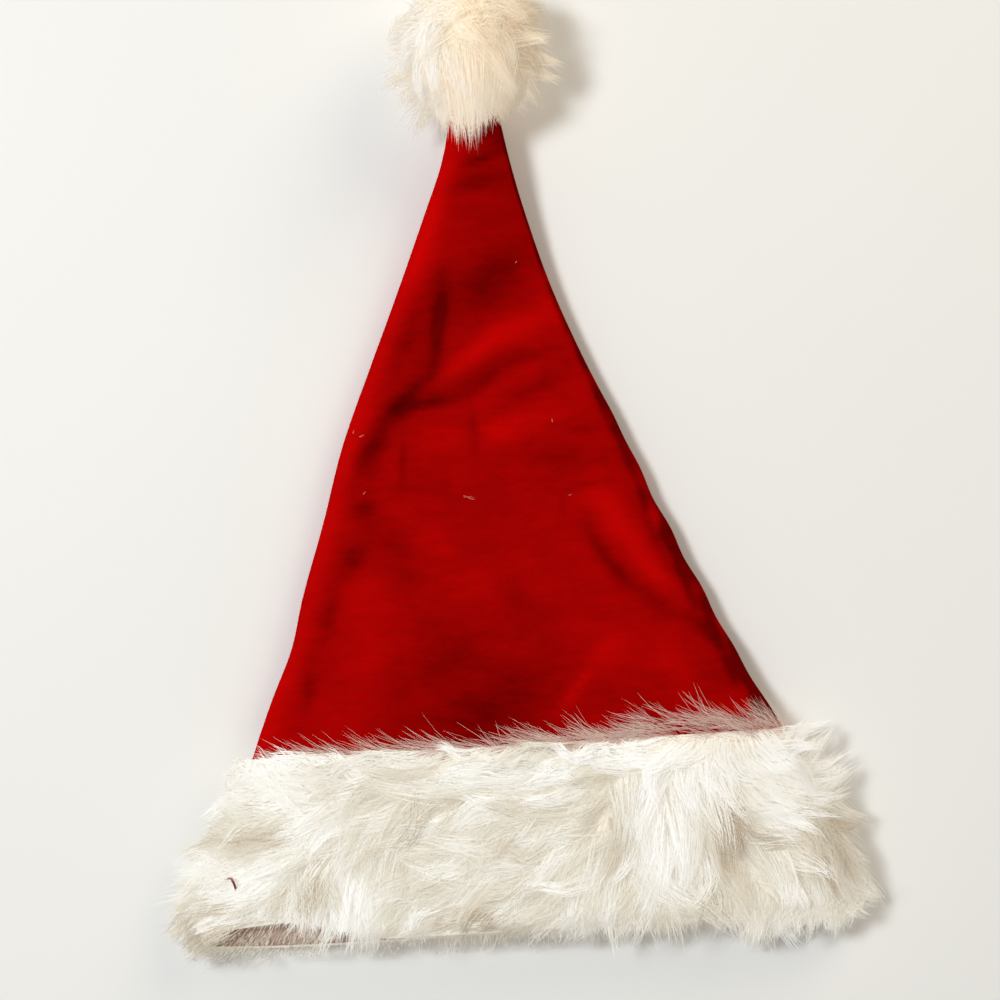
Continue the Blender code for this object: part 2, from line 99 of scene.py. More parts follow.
# Folds of the upper face: how deep and wide the valley is, and how high the cloth swells beside it.
# A swell above 0 is on the line's left, one below 0 on its right.
Fold = namedtuple("Fold", "name line depth width swell")
FOLDS = (
    Fold("left crease", ((-0.0260, 0.2204), (-0.0270, 0.2036), (-0.0317, 0.1847), (-0.0397, 0.1719),
                         (-0.0489, 0.1605), (-0.0566, 0.1513), (-0.0660, 0.1351)), 0.0030, 0.0060, -0.0008),
    Fold("left shoulder", ((-0.0663, 0.1353), (-0.0734, 0.1127), (-0.0773, 0.0889), (-0.0879, 0.0727),
                           (-0.0915, 0.0537), (-0.1022, 0.0351)), 0.0016, 0.0060, 0.0),
    Fold("cross crease", ((-0.0488, 0.1607), (-0.0343, 0.1632), (-0.0197, 0.1661), (-0.0098, 0.1704),
                          (0.0002, 0.1770), (0.0126, 0.1820)), 0.0022, 0.0045, 0.0012),
    Fold("short crease", ((0.0042, 0.1632), (0.0190, 0.1696), (0.0338, 0.1749)), 0.0014, 0.0045, 0.0005),
    Fold("upper dent", ((-0.0240, 0.2131), (-0.0020, 0.2189), (0.0180, 0.2321)), 0.0016, 0.0070, 0.0),
    Fold("tip dent", ((-0.0137, 0.2629), (0.0128, 0.2637)), 0.0010, 0.0040, 0.0006),
    Fold("tip crease", ((-0.0081, 0.2770), (0.0091, 0.2832)), 0.0009, 0.0030, 0.0),
    Fold("left wrinkle", ((-0.0491, 0.1569), (-0.0502, 0.1233), (-0.0321, 0.1198)), 0.0007, 0.0050, 0.0),
    Fold("middle wrinkle", ((-0.0128, 0.1595), (-0.0119, 0.1354)), 0.0006, 0.0045, 0.0),
    Fold("right wrinkle, upper", ((0.0345, 0.1470), (0.0465, 0.1462)), 0.0006, 0.0030, 0.0),
    Fold("middle dent", ((0.0025, 0.1345), (0.0504, 0.1316)), 0.0010, 0.0050, 0.0004),
    Fold("right wrinkle, lower", ((0.0303, 0.1184), (0.0498, 0.1220)), 0.0006, 0.0035, 0.0),
    Fold("right crease", ((0.0435, 0.0983), (0.0546, 0.0832), (0.0680, 0.0656), (0.0792, 0.0529),
                          (0.0905, 0.0402)), 0.0024, 0.0070, 0.0010),
    Fold("low hollow", ((-0.0450, 0.0268), (-0.0046, 0.0195), (0.0338, 0.0172)), 0.0042, 0.0240, 0.0),
    Fold("side seam, upper", ((0.0272, 0.2244), (0.0370, 0.1877), (0.0431, 0.1705), (0.0470, 0.1630)),
         0.0010, 0.0022, 0.0),
    Fold("side seam", ((0.0470, 0.1630), (0.0543, 0.1405), (0.0564, 0.1283), (0.0642, 0.1062),
                       (0.0726, 0.0864), (0.0832, 0.0709), (0.0922, 0.0521), (0.1009, 0.0376)),
         0.0018, 0.0028, 0.0),
)
# Swells without a valley: their depth is below 0.
SWELLS = (
    Fold("cross swell", ((-0.0187, 0.1815), (0.0010, 0.1899), (0.0203, 0.1911)), -0.0020, 0.0090, 0.0),
    Fold("middle swell", ((-0.0423, 0.1108), (-0.0262, 0.0978)), -0.0014, 0.0110, 0.0),
    Fold("right swell", ((0.0495, 0.1172), (0.0648, 0.0922), (0.0757, 0.0747)), -0.0018, 0.0080, 0.0),
    Fold("low swell", ((0.0091, 0.0067), (0.0366, 0.0242)), -0.0018, 0.0085, 0.0),
)
# Folds fade out over this share of the half width, next to the sides.
FOLD_MARGIN = 0.12
# The right edge's seam puckers sideways: how far, how often, and up to where.
PUCKER = 0.0006
PUCKER_PITCH = 0.030
PUCKER_END = 0.170

# Patches of painted light and shade on the velvet, darker in its creases and hollows, lighter on its swells:
# middle, reach along and across, turn in degrees, and strength. A strength below 0 is painted shade, one
# above 0 painted light.
Patch = namedtuple("Patch", "x y along across turn strength")
PAINTED_LIGHT_AND_SHADE_PATCHES = (
    Patch(0.000, 0.235, 0.060, 0.034, 80, -0.22),
    Patch(-0.012, 0.016, 0.038, 0.0220, 4, -0.66),
    Patch(-0.028, 0.201, 0.022, 0.0038, 80, -1.00),
    Patch(-0.044, 0.167, 0.018, 0.0048, 48, -1.00),
    Patch(-0.063, 0.143, 0.015, 0.0053, 58, -0.75),
    Patch(-0.044, 0.194, 0.024, 0.0067, 66, -0.50),
    Patch(-0.032, 0.164, 0.015, 0.0029, 8, -0.80),
    Patch(-0.006, 0.173, 0.013, 0.0029, 30, -0.65),
    Patch(0.013, 0.182, 0.011, 0.0024, 12, -0.35),
    Patch(0.016, 0.167, 0.015, 0.0029, 24, -0.60),
    Patch(0.006, 0.225, 0.015, 0.0070, 32, -0.28),
    Patch(-0.010, 0.214, 0.022, 0.0120, 32, -0.45),
    Patch(-0.003, 0.278, 0.010, 0.0024, 16, -0.80),
    Patch(-0.004, 0.269, 0.019, 0.0058, 8, -0.40),
    Patch(0.007, 0.287, 0.006, 0.0048, -4, -0.60),
    Patch(-0.014, 0.150, 0.011, 0.0024, 92, -0.40),
    Patch(-0.049, 0.135, 0.012, 0.0019, 84, -0.40),
    Patch(-0.041, 0.122, 0.012, 0.0019, -8, -0.30),
    Patch(0.026, 0.132, 0.020, 0.0058, -2, -0.35),
    Patch(0.037, 0.120, 0.012, 0.0019, 8, -0.50),
    Patch(0.026, 0.111, 0.006, 0.0019, 84, -0.35),
    Patch(0.037, 0.147, 0.008, 0.0019, -4, -0.30),
    Patch(0.042, 0.091, 0.013, 0.0043, -62, -0.55),
    Patch(0.051, 0.078, 0.011, 0.0038, -52, -0.60),
    Patch(0.067, 0.064, 0.013, 0.0043, -42, -0.45),
    Patch(0.088, 0.050, 0.009, 0.0043, -44, -0.70),
    Patch(-0.069, 0.115, 0.007, 0.0048, 16, -0.60),
    Patch(-0.076, 0.091, 0.008, 0.0058, 56, -0.75),
    Patch(-0.088, 0.066, 0.013, 0.0043, 68, -0.50),
    Patch(-0.100, 0.031, 0.010, 0.0043, 76, -0.60),
    Patch(-0.055, 0.090, 0.029, 0.0106, -64, -0.35),
    Patch(-0.018, 0.012, 0.030, 0.0115, 0, -0.25),
    Patch(-0.037, 0.041, 0.024, 0.0096, 16, -0.35),
    Patch(0.010, 0.029, 0.014, 0.0106, -4, -0.22),
    Patch(0.003, 0.067, 0.022, 0.0077, -54, -0.30),
    Patch(0.096, 0.028, 0.017, 0.0096, -34, -0.40),
    Patch(-0.030, 0.249, 0.029, 0.0077, 68, 0.50),
    Patch(-0.011, 0.187, 0.023, 0.0043, 32, 0.55),
    Patch(0.011, 0.198, 0.014, 0.0067, 16, 0.55),
    Patch(-0.001, 0.149, 0.010, 0.0067, 6, 0.60),
    Patch(-0.030, 0.146, 0.012, 0.0086, -4, 0.35),
    Patch(0.023, 0.155, 0.014, 0.0048, 16, 0.40),
    Patch(0.046, 0.110, 0.012, 0.0077, -64, 0.62),
    Patch(0.059, 0.090, 0.018, 0.0048, -58, 0.70),
    Patch(0.070, 0.074, 0.012, 0.0038, -48, 0.50),
    Patch(-0.073, 0.072, 0.014, 0.0106, 56, 0.35),
    Patch(-0.071, 0.041, 0.019, 0.0144, 76, 0.30),
    Patch(-0.015, 0.076, 0.017, 0.0096, 16, 0.30),
    Patch(-0.038, 0.099, 0.019, 0.0058, -34, 0.25),
    Patch(0.044, 0.041, 0.010, 0.0086, 46, 0.45),
    Patch(0.027, 0.023, 0.016, 0.0024, 52, 0.55),
    Patch(0.070, 0.037, 0.014, 0.0077, -34, 0.35),
    Patch(-0.013, 0.240, 0.014, 0.0106, 56, 0.25),
    Patch(0.025, 0.207, 0.014, 0.0048, -64, 0.30),
)

# The painted shade along the crown's right edge, which faces away from the light, streaked like its gathered
# seam: its width along the crown.
RIGHT_PAINTED_SHADE = ((0.000, 0.0095), (0.050, 0.0090), (0.090, 0.0100), (0.140, 0.0060), (0.180, 0.0032),
               (0.250, 0.0015))

# The way the cuff's fur lies on its upper face: degrees anticlockwise from +X, and how tall it stands.
Flow = namedtuple("Flow", "x y angle height")
CUFF_FLOW = (
    Flow(-0.123, -0.002, 178, 0.006),
    Flow(-0.105, -0.006, 184, 0.010),
    Flow(-0.077, -0.005, 186, 0.013),
    Flow(-0.044, -0.006, 186, 0.014),
    Flow(-0.011, -0.007, 186, 0.015),
    Flow(0.017, -0.007, 188, 0.016),
    Flow(0.046, -0.008, 190, 0.017),
    Flow(0.069, -0.008, 200, 0.018),
    Flow(0.090, -0.009, 228, 0.018),
    Flow(0.109, -0.010, 300, 0.017),
    Flow(0.126, -0.010, 20, 0.016),
    Flow(-0.132, -0.016, 183, 0.011),
    Flow(-0.111, -0.019, 186, 0.013),
    Flow(-0.083, -0.019, 192, 0.015),
    Flow(-0.045, -0.021, 186, 0.016),
    Flow(-0.007, -0.023, 184, 0.017),
    Flow(0.023, -0.023, 192, 0.017),
    Flow(0.038, -0.024, 225, 0.015),
    Flow(0.054, -0.025, 262, 0.017),
    Flow(0.078, -0.026, 268, 0.018),
    Flow(0.096, -0.027, 285, 0.018),
    Flow(0.113, -0.026, 325, 0.017),
    Flow(0.129, -0.027, 335, 0.016),
    Flow(0.145, -0.023, 30, 0.015),
    Flow(-0.147, -0.031, 184, 0.010),
    Flow(-0.126, -0.037, 190, 0.012),
    Flow(-0.103, -0.039, 204, 0.014),
    Flow(-0.074, -0.041, 214, 0.015),
    Flow(-0.046, -0.042, 196, 0.017),
    Flow(-0.013, -0.044, 192, 0.018),
    Flow(0.015, -0.046, 208, 0.017),
    Flow(0.033, -0.045, 228, 0.014),
    Flow(0.048, -0.048, 268, 0.016),
    Flow(0.071, -0.049, 272, 0.018),
    Flow(0.088, -0.053, 285, 0.016),
    Flow(0.098, -0.056, 262, 0.007),
    Flow(0.112, -0.050, 10, 0.015),
    Flow(0.128, -0.048, 345, 0.016),
    Flow(0.142, -0.047, 300, 0.015),
    Flow(0.154, -0.043, 358, 0.014),
    Flow(-0.158, -0.054, 200, 0.011),
    Flow(-0.142, -0.059, 190, 0.012),
    Flow(-0.123, -0.057, 215, 0.014),
    Flow(-0.104, -0.060, 262, 0.015),
    Flow(-0.087, -0.059, 272, 0.017),
    Flow(-0.073, -0.062, 250, 0.015),
    Flow(-0.052, -0.063, 205, 0.016),
    Flow(-0.024, -0.065, 200, 0.017),
    Flow(0.004, -0.067, 208, 0.017),
    Flow(0.028, -0.068, 238, 0.016),
    Flow(0.044, -0.069, 262, 0.016),
    Flow(0.065, -0.070, 285, 0.016),
    Flow(0.084, -0.069, 295, 0.015),
    Flow(0.098, -0.070, 262, 0.012),
    Flow(0.113, -0.066, 330, 0.015),
    Flow(0.129, -0.067, 300, 0.015),
    Flow(0.146, -0.063, 275, 0.014),
    Flow(0.159, -0.067, 310, 0.013),
    Flow(-0.166, -0.075, 205, 0.009),
    Flow(-0.149, -0.070, 195, 0.010),
    Flow(-0.128, -0.073, 205, 0.010),
    Flow(-0.105, -0.073, 262, 0.011),
    Flow(-0.084, -0.075, 268, 0.014),
    Flow(-0.070, -0.076, 238, 0.012),
    Flow(-0.048, -0.076, 200, 0.013),
    Flow(-0.020, -0.079, 198, 0.012),
    Flow(0.006, -0.079, 220, 0.012),
    Flow(0.027, -0.082, 252, 0.012),
    Flow(0.050, -0.084, 268, 0.012),
    Flow(0.074, -0.084, 305, 0.012),
    Flow(0.095, -0.085, 280, 0.012),
    Flow(0.116, -0.088, 255, 0.013),
    Flow(0.133, -0.089, 240, 0.012),
    Flow(0.147, -0.082, 285, 0.012),
    Flow(0.162, -0.081, 305, 0.011),
)
# How sharply the flow changes between the places above, and how soft it is next to one.
FLOW_SHARPNESS = 3.4
FLOW_SOFTNESS = 0.003
# The way the hair at the lower rim hangs, along the rim: degrees anticlockwise from +X.
RIM_HEADINGS = ((-0.160, 214.0), (-0.120, 236.0), (-0.098, 262.0), (-0.075, 262.0), (-0.050, 214.0),
                (0.000, 222.0), (0.030, 252.0), (0.055, 272.0), (0.080, 300.0), (0.100, 282.0),
                (0.125, 248.0), (0.155, 296.0))

# How far the cuff's long hair reaches towards the mouth, and out to its left and right.
LOWER_REACH = ((-0.178, -0.085), (-0.160, -0.084), (-0.148, -0.078), (-0.124, -0.073), (-0.100, -0.075),
               (-0.090, -0.081), (-0.081, -0.082), (-0.070, -0.080), (-0.049, -0.083), (-0.025, -0.084),
               (0.003, -0.086), (0.055, -0.0855), (0.079, -0.085), (0.095, -0.088), (0.111, -0.096),
               (0.127, -0.101), (0.144, -0.094), (0.166, -0.086))
LEFT_REACH = ((-0.092, -0.165), (-0.084, -0.178), (-0.067, -0.174), (-0.041, -0.161), (-0.018, -0.1445),
              (-0.007, -0.132), (0.001, -0.1265), (0.011, -0.124))
RIGHT_REACH = ((-0.106, 0.135), (-0.096, 0.150), (-0.084, 0.167), (-0.069, 0.163), (-0.054, 0.1585),
               (-0.044, 0.162), (-0.037, 0.159), (-0.020, 0.155), (-0.011, 0.158), (-0.003, 0.151),
               (0.005, 0.1325))
# How unevenly single tufts reach past these lines, and how far they hang over the rim right of RIM_LEFT.
REACH_SPREAD = 0.0034
RIM_LEFT = -0.09
RIM_HANG = 0.0055
# How far inside the left line the hair ends, and the share of its length that a tuft keeps at least.
LEFT_INSET = 0.0045
SHORTEST = 0.17
# The small dark parting at the cuff's right, which no tuft crosses: its middle and half its size.
CREVICE = (0.0975, -0.0560)
CREVICE_SIZE = (0.0034, 0.0085)
# How far the hair passes the cuff's upper edge, unevenly, left of the place where it is free.
EDGE_SPREAD = 0.0018
EDGE_FREE = 0.110
# How high hair that passes the mouth lies on the lower lip.
LIP_HEIGHT = 0.0060

# The fur's tint over the cuff, with painted light and shade: 0 is beige and 1 is white.
Shade = namedtuple("Shade", "x y tint")
# The white places are painted highlight where the locks face the light, and the darkest are painted shade, as
# in the parting at the right.
CUFF_TINT_AND_PAINTED_LIGHT = (
    Shade(-0.123, -0.004, 0.95),
    Shade(-0.111, -0.017, 0.80),
    Shade(-0.094, -0.011, 0.55),
    Shade(-0.130, -0.020, 0.62),
    Shade(-0.145, -0.035, 0.25),
    Shade(-0.125, -0.036, 0.30),
    Shade(-0.105, -0.038, 0.85),
    Shade(-0.155, -0.049, 0.92),
    Shade(-0.132, -0.058, 0.95),
    Shade(-0.105, -0.062, 0.45),
    Shade(-0.084, -0.066, 1.00),
    Shade(-0.149, -0.070, 0.35),
    Shade(-0.166, -0.077, 0.40),
    Shade(-0.067, -0.036, 0.42),
    Shade(-0.075, -0.054, 0.45),
    Shade(-0.030, -0.012, 0.72),
    Shade(0.012, -0.015, 0.75),
    Shade(-0.031, -0.033, 0.52),
    Shade(-0.009, -0.044, 0.55),
    Shade(0.009, -0.064, 0.64),
    Shade(-0.029, -0.067, 0.60),
    Shade(-0.025, -0.079, 0.25),
    Shade(-0.062, -0.075, 0.50),
    Shade(0.038, -0.028, 0.36),
    Shade(0.038, -0.052, 0.34),
    Shade(0.063, -0.030, 1.00),
    Shade(0.066, -0.058, 1.00),
    Shade(0.089, -0.031, 0.97),
    Shade(0.089, -0.064, 0.92),
    Shade(0.055, -0.006, 1.00),
    Shade(0.083, -0.008, 1.00),
    Shade(0.116, -0.012, 0.95),
    Shade(0.097, -0.056, 0.00),
    Shade(0.100, -0.052, 0.00),
    Shade(0.094, -0.060, 0.00),
    Shade(0.110, -0.066, 0.62),
    Shade(0.117, -0.040, 0.80),
    Shade(0.133, -0.034, 0.68),
    Shade(0.148, -0.059, 0.12),
    Shade(0.152, -0.048, 0.22),
    Shade(0.133, -0.076, 0.62),
    Shade(0.155, -0.075, 0.50),
    Shade(0.074, -0.085, 0.36),
    Shade(0.041, -0.081, 0.62),
    Shade(0.120, -0.092, 0.66),
    Shade(0.148, -0.021, 0.85),
    Shade(0.022, -0.080, 0.60),
)

# Fields of tufts on the cuff: from which to which degree round the section they grow, and how long they are.
Growth = namedtuple("Growth", "name start end length")
CUFF_GROWTHS = (
    Growth("fur_cuff_hair_left", 128, 178, 0.040),
    Growth("fur_cuff_hair_middle", 84, 134, 0.040),
    Growth("fur_cuff_hair_right", 2, 90, 0.036),
)
# Each field's tufts, the hairs of a tuft, how wide a tuft grows, and between which places along the hat.
CUFF_TUFTS = 210
TUFT_HAIRS = 40
TUFT_SPREAD = 0.0068
CUFF_NEAR = -0.086
CUFF_FAR = -0.002
# How tufts stray from the flow, in degrees: as a whole, more towards the end, and in waves.
WANDER = 13.0
BEND = 24.0
WAVE = 20.0
COMB_STEPS = 8
# The cuff's tints are spread away from their middle, and stay inside the colours' range.
TINT_MIDDLE = 0.75
TINT_CONTRAST = 0.30
TINT_RANGE = (0.02, 0.98)
# The least height of hair above the surface that the hat lies on, at the cuff and at the pompom.
CUFF_CLEARANCE = 0.0006
POMPOM_CLEARANCE = 0.0008

# The pompom's middle, how far out its hair starts and ends, and the radius of its matted core.
POMPOM_CENTRE = np.array((-0.0056, 0.3331, 0.0345))
POMPOM_ROOT = 0.016
POMPOM_REACH = 0.0385
POMPOM_CORE = 0.0205

# Tufts of the pompom that hang over the crown's tip or stand out at its sides.
Tuft = namedtuple("Tuft", "name root tip hairs width arch gather")
POMPOM_TUFTS = (
    Tuft("tip", (-0.004, 0.322, 0.056), (-0.0040, 0.2862, 0.0345), 150, 0.0100, 0.0050, 0.55),
    Tuft("tip, second", (-0.009, 0.320, 0.054), (-0.0085, 0.2858, 0.0345), 110, 0.0090, 0.0050, 0.50),
    Tuft("tip, middle left", (-0.013, 0.318, 0.050), (-0.0130, 0.2868, 0.0340), 100, 0.0080, 0.0050, 0.50),
    Tuft("tip, left", (-0.018, 0.318, 0.044), (-0.0185, 0.2885, 0.0310), 80, 0.0070, 0.0040, 0.50),
    Tuft("tip, middle right", (0.003, 0.320, 0.052), (0.0010, 0.2920, 0.0355), 110, 0.0080, 0.0050, 0.50),
    Tuft("tip, right", (0.009, 0.320, 0.048), (0.0070, 0.3000, 0.0360), 90, 0.0065, 0.0040, 0.50),
    Tuft("low left", (-0.018, 0.318, 0.024), (-0.0330, 0.2935, 0.0200), 80, 0.0085, 0.0, 0.40),
    Tuft("lower left", (-0.022, 0.320, 0.026), (-0.0385, 0.3035, 0.0230), 80, 0.0085, 0.0, 0.40),
    Tuft("left", (-0.022, 0.326, 0.028), (-0.0465, 0.3150, 0.0250), 110, 0.0090, 0.0, 0.45),
    Tuft("left, upper", (-0.022, 0.334, 0.034), (-0.0440, 0.3300, 0.0330), 80, 0.0085, 0.0, 0.45),
    Tuft("right", (0.016, 0.322, 0.030), (0.0365, 0.3120, 0.0300), 70, 0.0060, 0.0040, 0.80),
    Tuft("right, middle", (0.018, 0.328, 0.034), (0.0380, 0.3195, 0.0350), 60, 0.0055, 0.0040, 0.85),
    Tuft("right, upper", (0.016, 0.332, 0.040), (0.0335, 0.3300, 0.0430), 60, 0.0055, 0.0050, 0.85),
    Tuft("right, low", (0.013, 0.320, 0.030), (0.0270, 0.3020, 0.0260), 70, 0.0065, 0.0, 0.60),
    Tuft("right, lowest", (0.010, 0.318, 0.030), (0.0195, 0.2985, 0.0240), 60, 0.0060, 0.0, 0.55),
)

# Lint on the velvet: its middle, length and turn in degrees, and how many hairs each has.
Fleck = namedtuple("Fleck", "x y length turn")
LINT = (
    Fleck(-0.0178, 0.1175, 0.0085, -20),
    Fleck(-0.0680, 0.1229, 0.0022, 40),
    Fleck(-0.0677, 0.1503, 0.0030, 20),
    Fleck(-0.0715, 0.1525, 0.0018, 70),
    Fleck(0.0237, 0.1520, 0.0024, 90),
    Fleck(0.0302, 0.1160, 0.0018, 15),
    Fleck(0.0111, 0.2287, 0.0016, 50),
)
FLECK_HAIRS = 3

# The hooked thread in the cuff's fur: its place and height, its bends, and the gap between its strands.
Bend = namedtuple("Bend", "x y rise")
THREAD_PLACE = np.array((-0.1410, -0.0560))
THREAD_HEIGHT = 0.0165
THREAD_HOOK = (
    Bend(0.0018, -0.0045, -0.0030),
    Bend(0.0013, -0.0012, 0.0),
    Bend(0.0003, 0.0012, 0.0010),
    Bend(-0.0012, 0.0016, 0.0012),
    Bend(-0.0019, 0.0001, 0.0002),
)
THREAD_GAP = 0.0003

# The studio: soft square lamps that point at the hat, the light from all round, and where the camera hangs.
Lamp = namedtuple("Lamp", "name place size power colour")
LAMPS = (
    Lamp("key", (-0.95, 0.40, 1.95), 0.45, 28.5, (0.94, 0.985, 1.0)),
    Lamp("fill", (1.3, 1.4, 1.3), 1.2, 17.0, (1.0, 0.84, 0.60)),
)
ROOM_COLOUR = (1.0, 0.975, 0.935, 1.0)
ROOM_STRENGTH = 0.35
CAMERA_PLACE = (-0.0005, -0.0153)
FOCUS_HEIGHT = 0.015

# Every hair's rings, as shares of its length, and the rings that short hair does with. Each ring has 3 sides.
RING_SHARES = np.array((0.0, 0.24, 0.52, 0.80, 1.0))
SHORT_RINGS = (0, 2, 3, 4)
SIDE_TURNS = 2.0 * math.pi * np.arange(3) / 3
# The share of the fur's own direction in the hairs' shading, and of their colour that reflects the light.
LIE_SHARE = 0.86
# The rest of the hairs' colour is a painted glow, for light scattered between the hairs.
BOUNCE_SHARE = 0.68


def crown_column(y, column):
    """Read a column of the crown's sections at every y, from a smooth curve through them."""
    places = np.array([row.y for row in CROWN_SECTIONS])
    values = np.array([getattr(row, column) for row in CROWN_SECTIONS])
    index = np.clip(np.searchsorted(places, y, side="left") - 1, 0, len(places) - 2)
    before, after = np.maximum(index - 1, 0), np.minimum(index + 2, len(places) - 1)
    span = places[index + 1] - places[index]
    slope_near = (values[index + 1] - values[before]) / (places[index + 1] - places[before]) * span
    slope_far = (values[after] - values[index]) / (places[after] - places[index]) * span
    t = (y - places[index]) / span
    square, cube = t * t, t * t * t
    return (
        (2 * cube - 3 * square + 1) * values[index]
        + (cube - 2 * square + t) * slope_near
        + (3 * square - 2 * cube) * values[index + 1]
        + (cube - square) * slope_far
    )


def line_distance(x, y, line):
    """Distance in plan to a line of straight stretches, and the side: 1 on its left, -1 on its right."""
    nearest = np.full(np.shape(x), np.inf)
    side = np.ones(np.shape(x))
    for start, end in zip(line, line[1:]):
        along = np.array(end) - np.array(start)
        away_x, away_y = x - start[0], y - start[1]
        share = np.clip((away_x * along[0] + away_y * along[1]) / along.dot(along), 0.0, 1.0)
        distance = np.hypot(away_x - share * along[0], away_y - share * along[1])
        closer = distance < nearest
        side = np.where(closer, np.sign(along[0] * away_y - along[1] * away_x), side)
        nearest = np.where(closer, distance, nearest)
    return nearest, side


def ripple(points, pitch, seed):
    """Soft uneven waves of about one pitch, from -1 to 1, from sines in several directions."""
    chance = np.random.default_rng(seed)
    total = np.zeros(len(points))
    for _ in range(5):
        heading = chance.normal(size=3)
        heading *= 2.0 * math.pi / (pitch * chance.uniform(0.7, 1.5)) / np.linalg.norm(heading)
        total += np.sin(points @ heading + chance.uniform(0.0, 2.0 * math.pi))
    return total / 3.2


def fold_height(x, y):
    """Height that folds, swells and fine wrinkles add to the crown's upper face."""
    height = np.zeros(np.shape(x))
    for fold in FOLDS + SWELLS:
        distance, side = line_distance(x, y, fold.line)
        height -= fold.depth * np.exp(-((distance / fold.width) ** 2))
        crest = np.exp(-((distance / fold.width - 1.9) ** 2))
        height += abs(fold.swell) * crest * (side * np.sign(fold.swell) > 0.0)
    seam, side = line_distance(x, y, FOLDS[-1].line)
    strip = np.exp(-((seam / 0.009) ** 2)) * (side > 0.0)
    height += 0.0006 * strip * np.sin(2.0 * math.pi * (y - 0.35 * x) / 0.0085)
    flat = np.stack([x, y, np.zeros(np.shape(x))], axis=-1).reshape(-1, 3)
    fine = 0.00035 * ripple(flat, 0.022, 4) + 0.00016 * ripple(flat, 0.009, 5)
    return height + fine.reshape(np.shape(x))


def pucker(y):
    """Sideways ripple of the seam along the crown's right edge."""
    fade = np.sin(math.pi * np.clip(y / PUCKER_END, 0.0, 1.0))
    return PUCKER * fade * np.sin(2.0 * math.pi * y / PUCKER_PITCH) * ((y > 0.0) & (y < PUCKER_END))


def section_points(y, angle, outset=0.0):
    """Points on the crown's section, moved outwards by outset.

    Angle 0 is the right edge and 90 degrees the top.
    """
    left = crown_column(y, "left")
    right = crown_column(y, "right") + pucker(y)
    under = np.maximum(crown_column(y, "under"), 0.0)
    top = crown_column(y, "top")
    seam = under + SEAM_LEVEL * (top - under)
    across, rise = np.cos(angle), np.sin(angle)
    x = (left + right) / 2 + ((right - left) / 2 + outset) * across
    upper = seam + (top + outset - seam) * np.maximum(rise, 0.0) ** TOP_ROUNDING
    upper += fold_height(x, y) * np.minimum(1.0, (1.0 - abs(across)) / FOLD_MARGIN)
    lower = seam - (seam - under + outset) * np.minimum(1.0, np.maximum(-rise, 0.0) * UNDER_ROUNDING)
    lower_end = np.minimum(0.0, y) / CROWN_SECTIONS[0].y
    step = MOUTH_STEP * np.maximum(0.0, -rise) * (1.0 - across) / 2 * lower_end
    back = MOUTH_BACK * np.maximum(0.0, rise) ** 0.5 * smooth_step((-across - 0.40) / 0.35) * lower_end ** 2
    return np.stack([x, y - step + back, np.where(rise >= 0.0, upper, lower)], axis=-1)


def blended(rows, x, y, columns, sharpness, softness):
    """Blend the columns of the nearest rows of a table of places."""
    gap = np.hypot(x[:, None] - [row.x for row in rows], y[:, None] - [row.y for row in rows]) + softness
    weight = gap ** -sharpness
    weight /= weight.sum(axis=1, keepdims=True)
    return [weight @ np.array([column(row) for row in rows]) for column in columns]


def cuff_flow(x, y):
    """Direction of the cuff's fur in plan and its height, at each place."""
    east, north, height = blended(CUFF_FLOW, x, y, (
        lambda row: math.cos(math.radians(row.angle)),
        lambda row: math.sin(math.radians(row.angle)),
        lambda row: row.height,
    ), FLOW_SHARPNESS, FLOW_SOFTNESS)
    size = np.maximum(np.hypot(east, north), 1e-6)
    return east / size, north / size, height


def within_reach(knots, slack, hang):
    """Shorten the paths that would pass the fur's outline by more than their slack.

    At the lower rim they may reach further by hang.
    """
    x, y = knots[..., 0], knots[..., 1]
    over = (
        (y < np.interp(x, *zip(*LOWER_REACH)) - slack[:, None] - hang)
        | (x < np.interp(y, *zip(*LEFT_REACH)) - slack[:, None] + LEFT_INSET)
        | (x > np.interp(y, *zip(*RIGHT_REACH)) + slack[:, None])
        | (np.hypot((x - CREVICE[0]) / CREVICE_SIZE[0], (y - CREVICE[1]) / CREVICE_SIZE[1]) < 1.0)
    )
    over[:, 0] = False
    over[:, -1] = True
    last = np.maximum(over.argmax(axis=1) / (knots.shape[1] - 1), SHORTEST)
    shares = np.linspace(0.0, 1.0, knots.shape[1])[None] * last[:, None]
    return along_path(knots, shares)


def support_lie(x, y):
    """Outward direction of what the fur lies on."""
    nudge = 0.003
    slope_x = (support_height(x + nudge, y) - support_height(x - nudge, y)) / (2 * nudge)
    slope_y = (support_height(x, y + nudge) - support_height(x, y - nudge)) / (2 * nudge)
    east, north = -np.clip(slope_x, -1.2, 0.45), -np.clip(slope_y, -1.2, 1.2)
    lie = np.stack([east, north, np.ones(np.shape(x))], axis=-1)
    return lie / np.linalg.norm(lie, axis=-1, keepdims=True)


def spread_evenly(count, chance):
    """Evenly scattered pairs of shares from 0 to 1."""
    order = np.arange(count)[:, None]
    return (order * np.array((0.7548776662, 0.5698402910)) + chance.uniform(0.0, 1.0, 2)) % 1.0


def cuff_tint(x, y):
    """Tint of the cuff's fur at each place, with its painted light and shade."""
    return blended(CUFF_TINT_AND_PAINTED_LIGHT, x, y, (lambda row: row.tint,), 3.0, 0.006)[0]


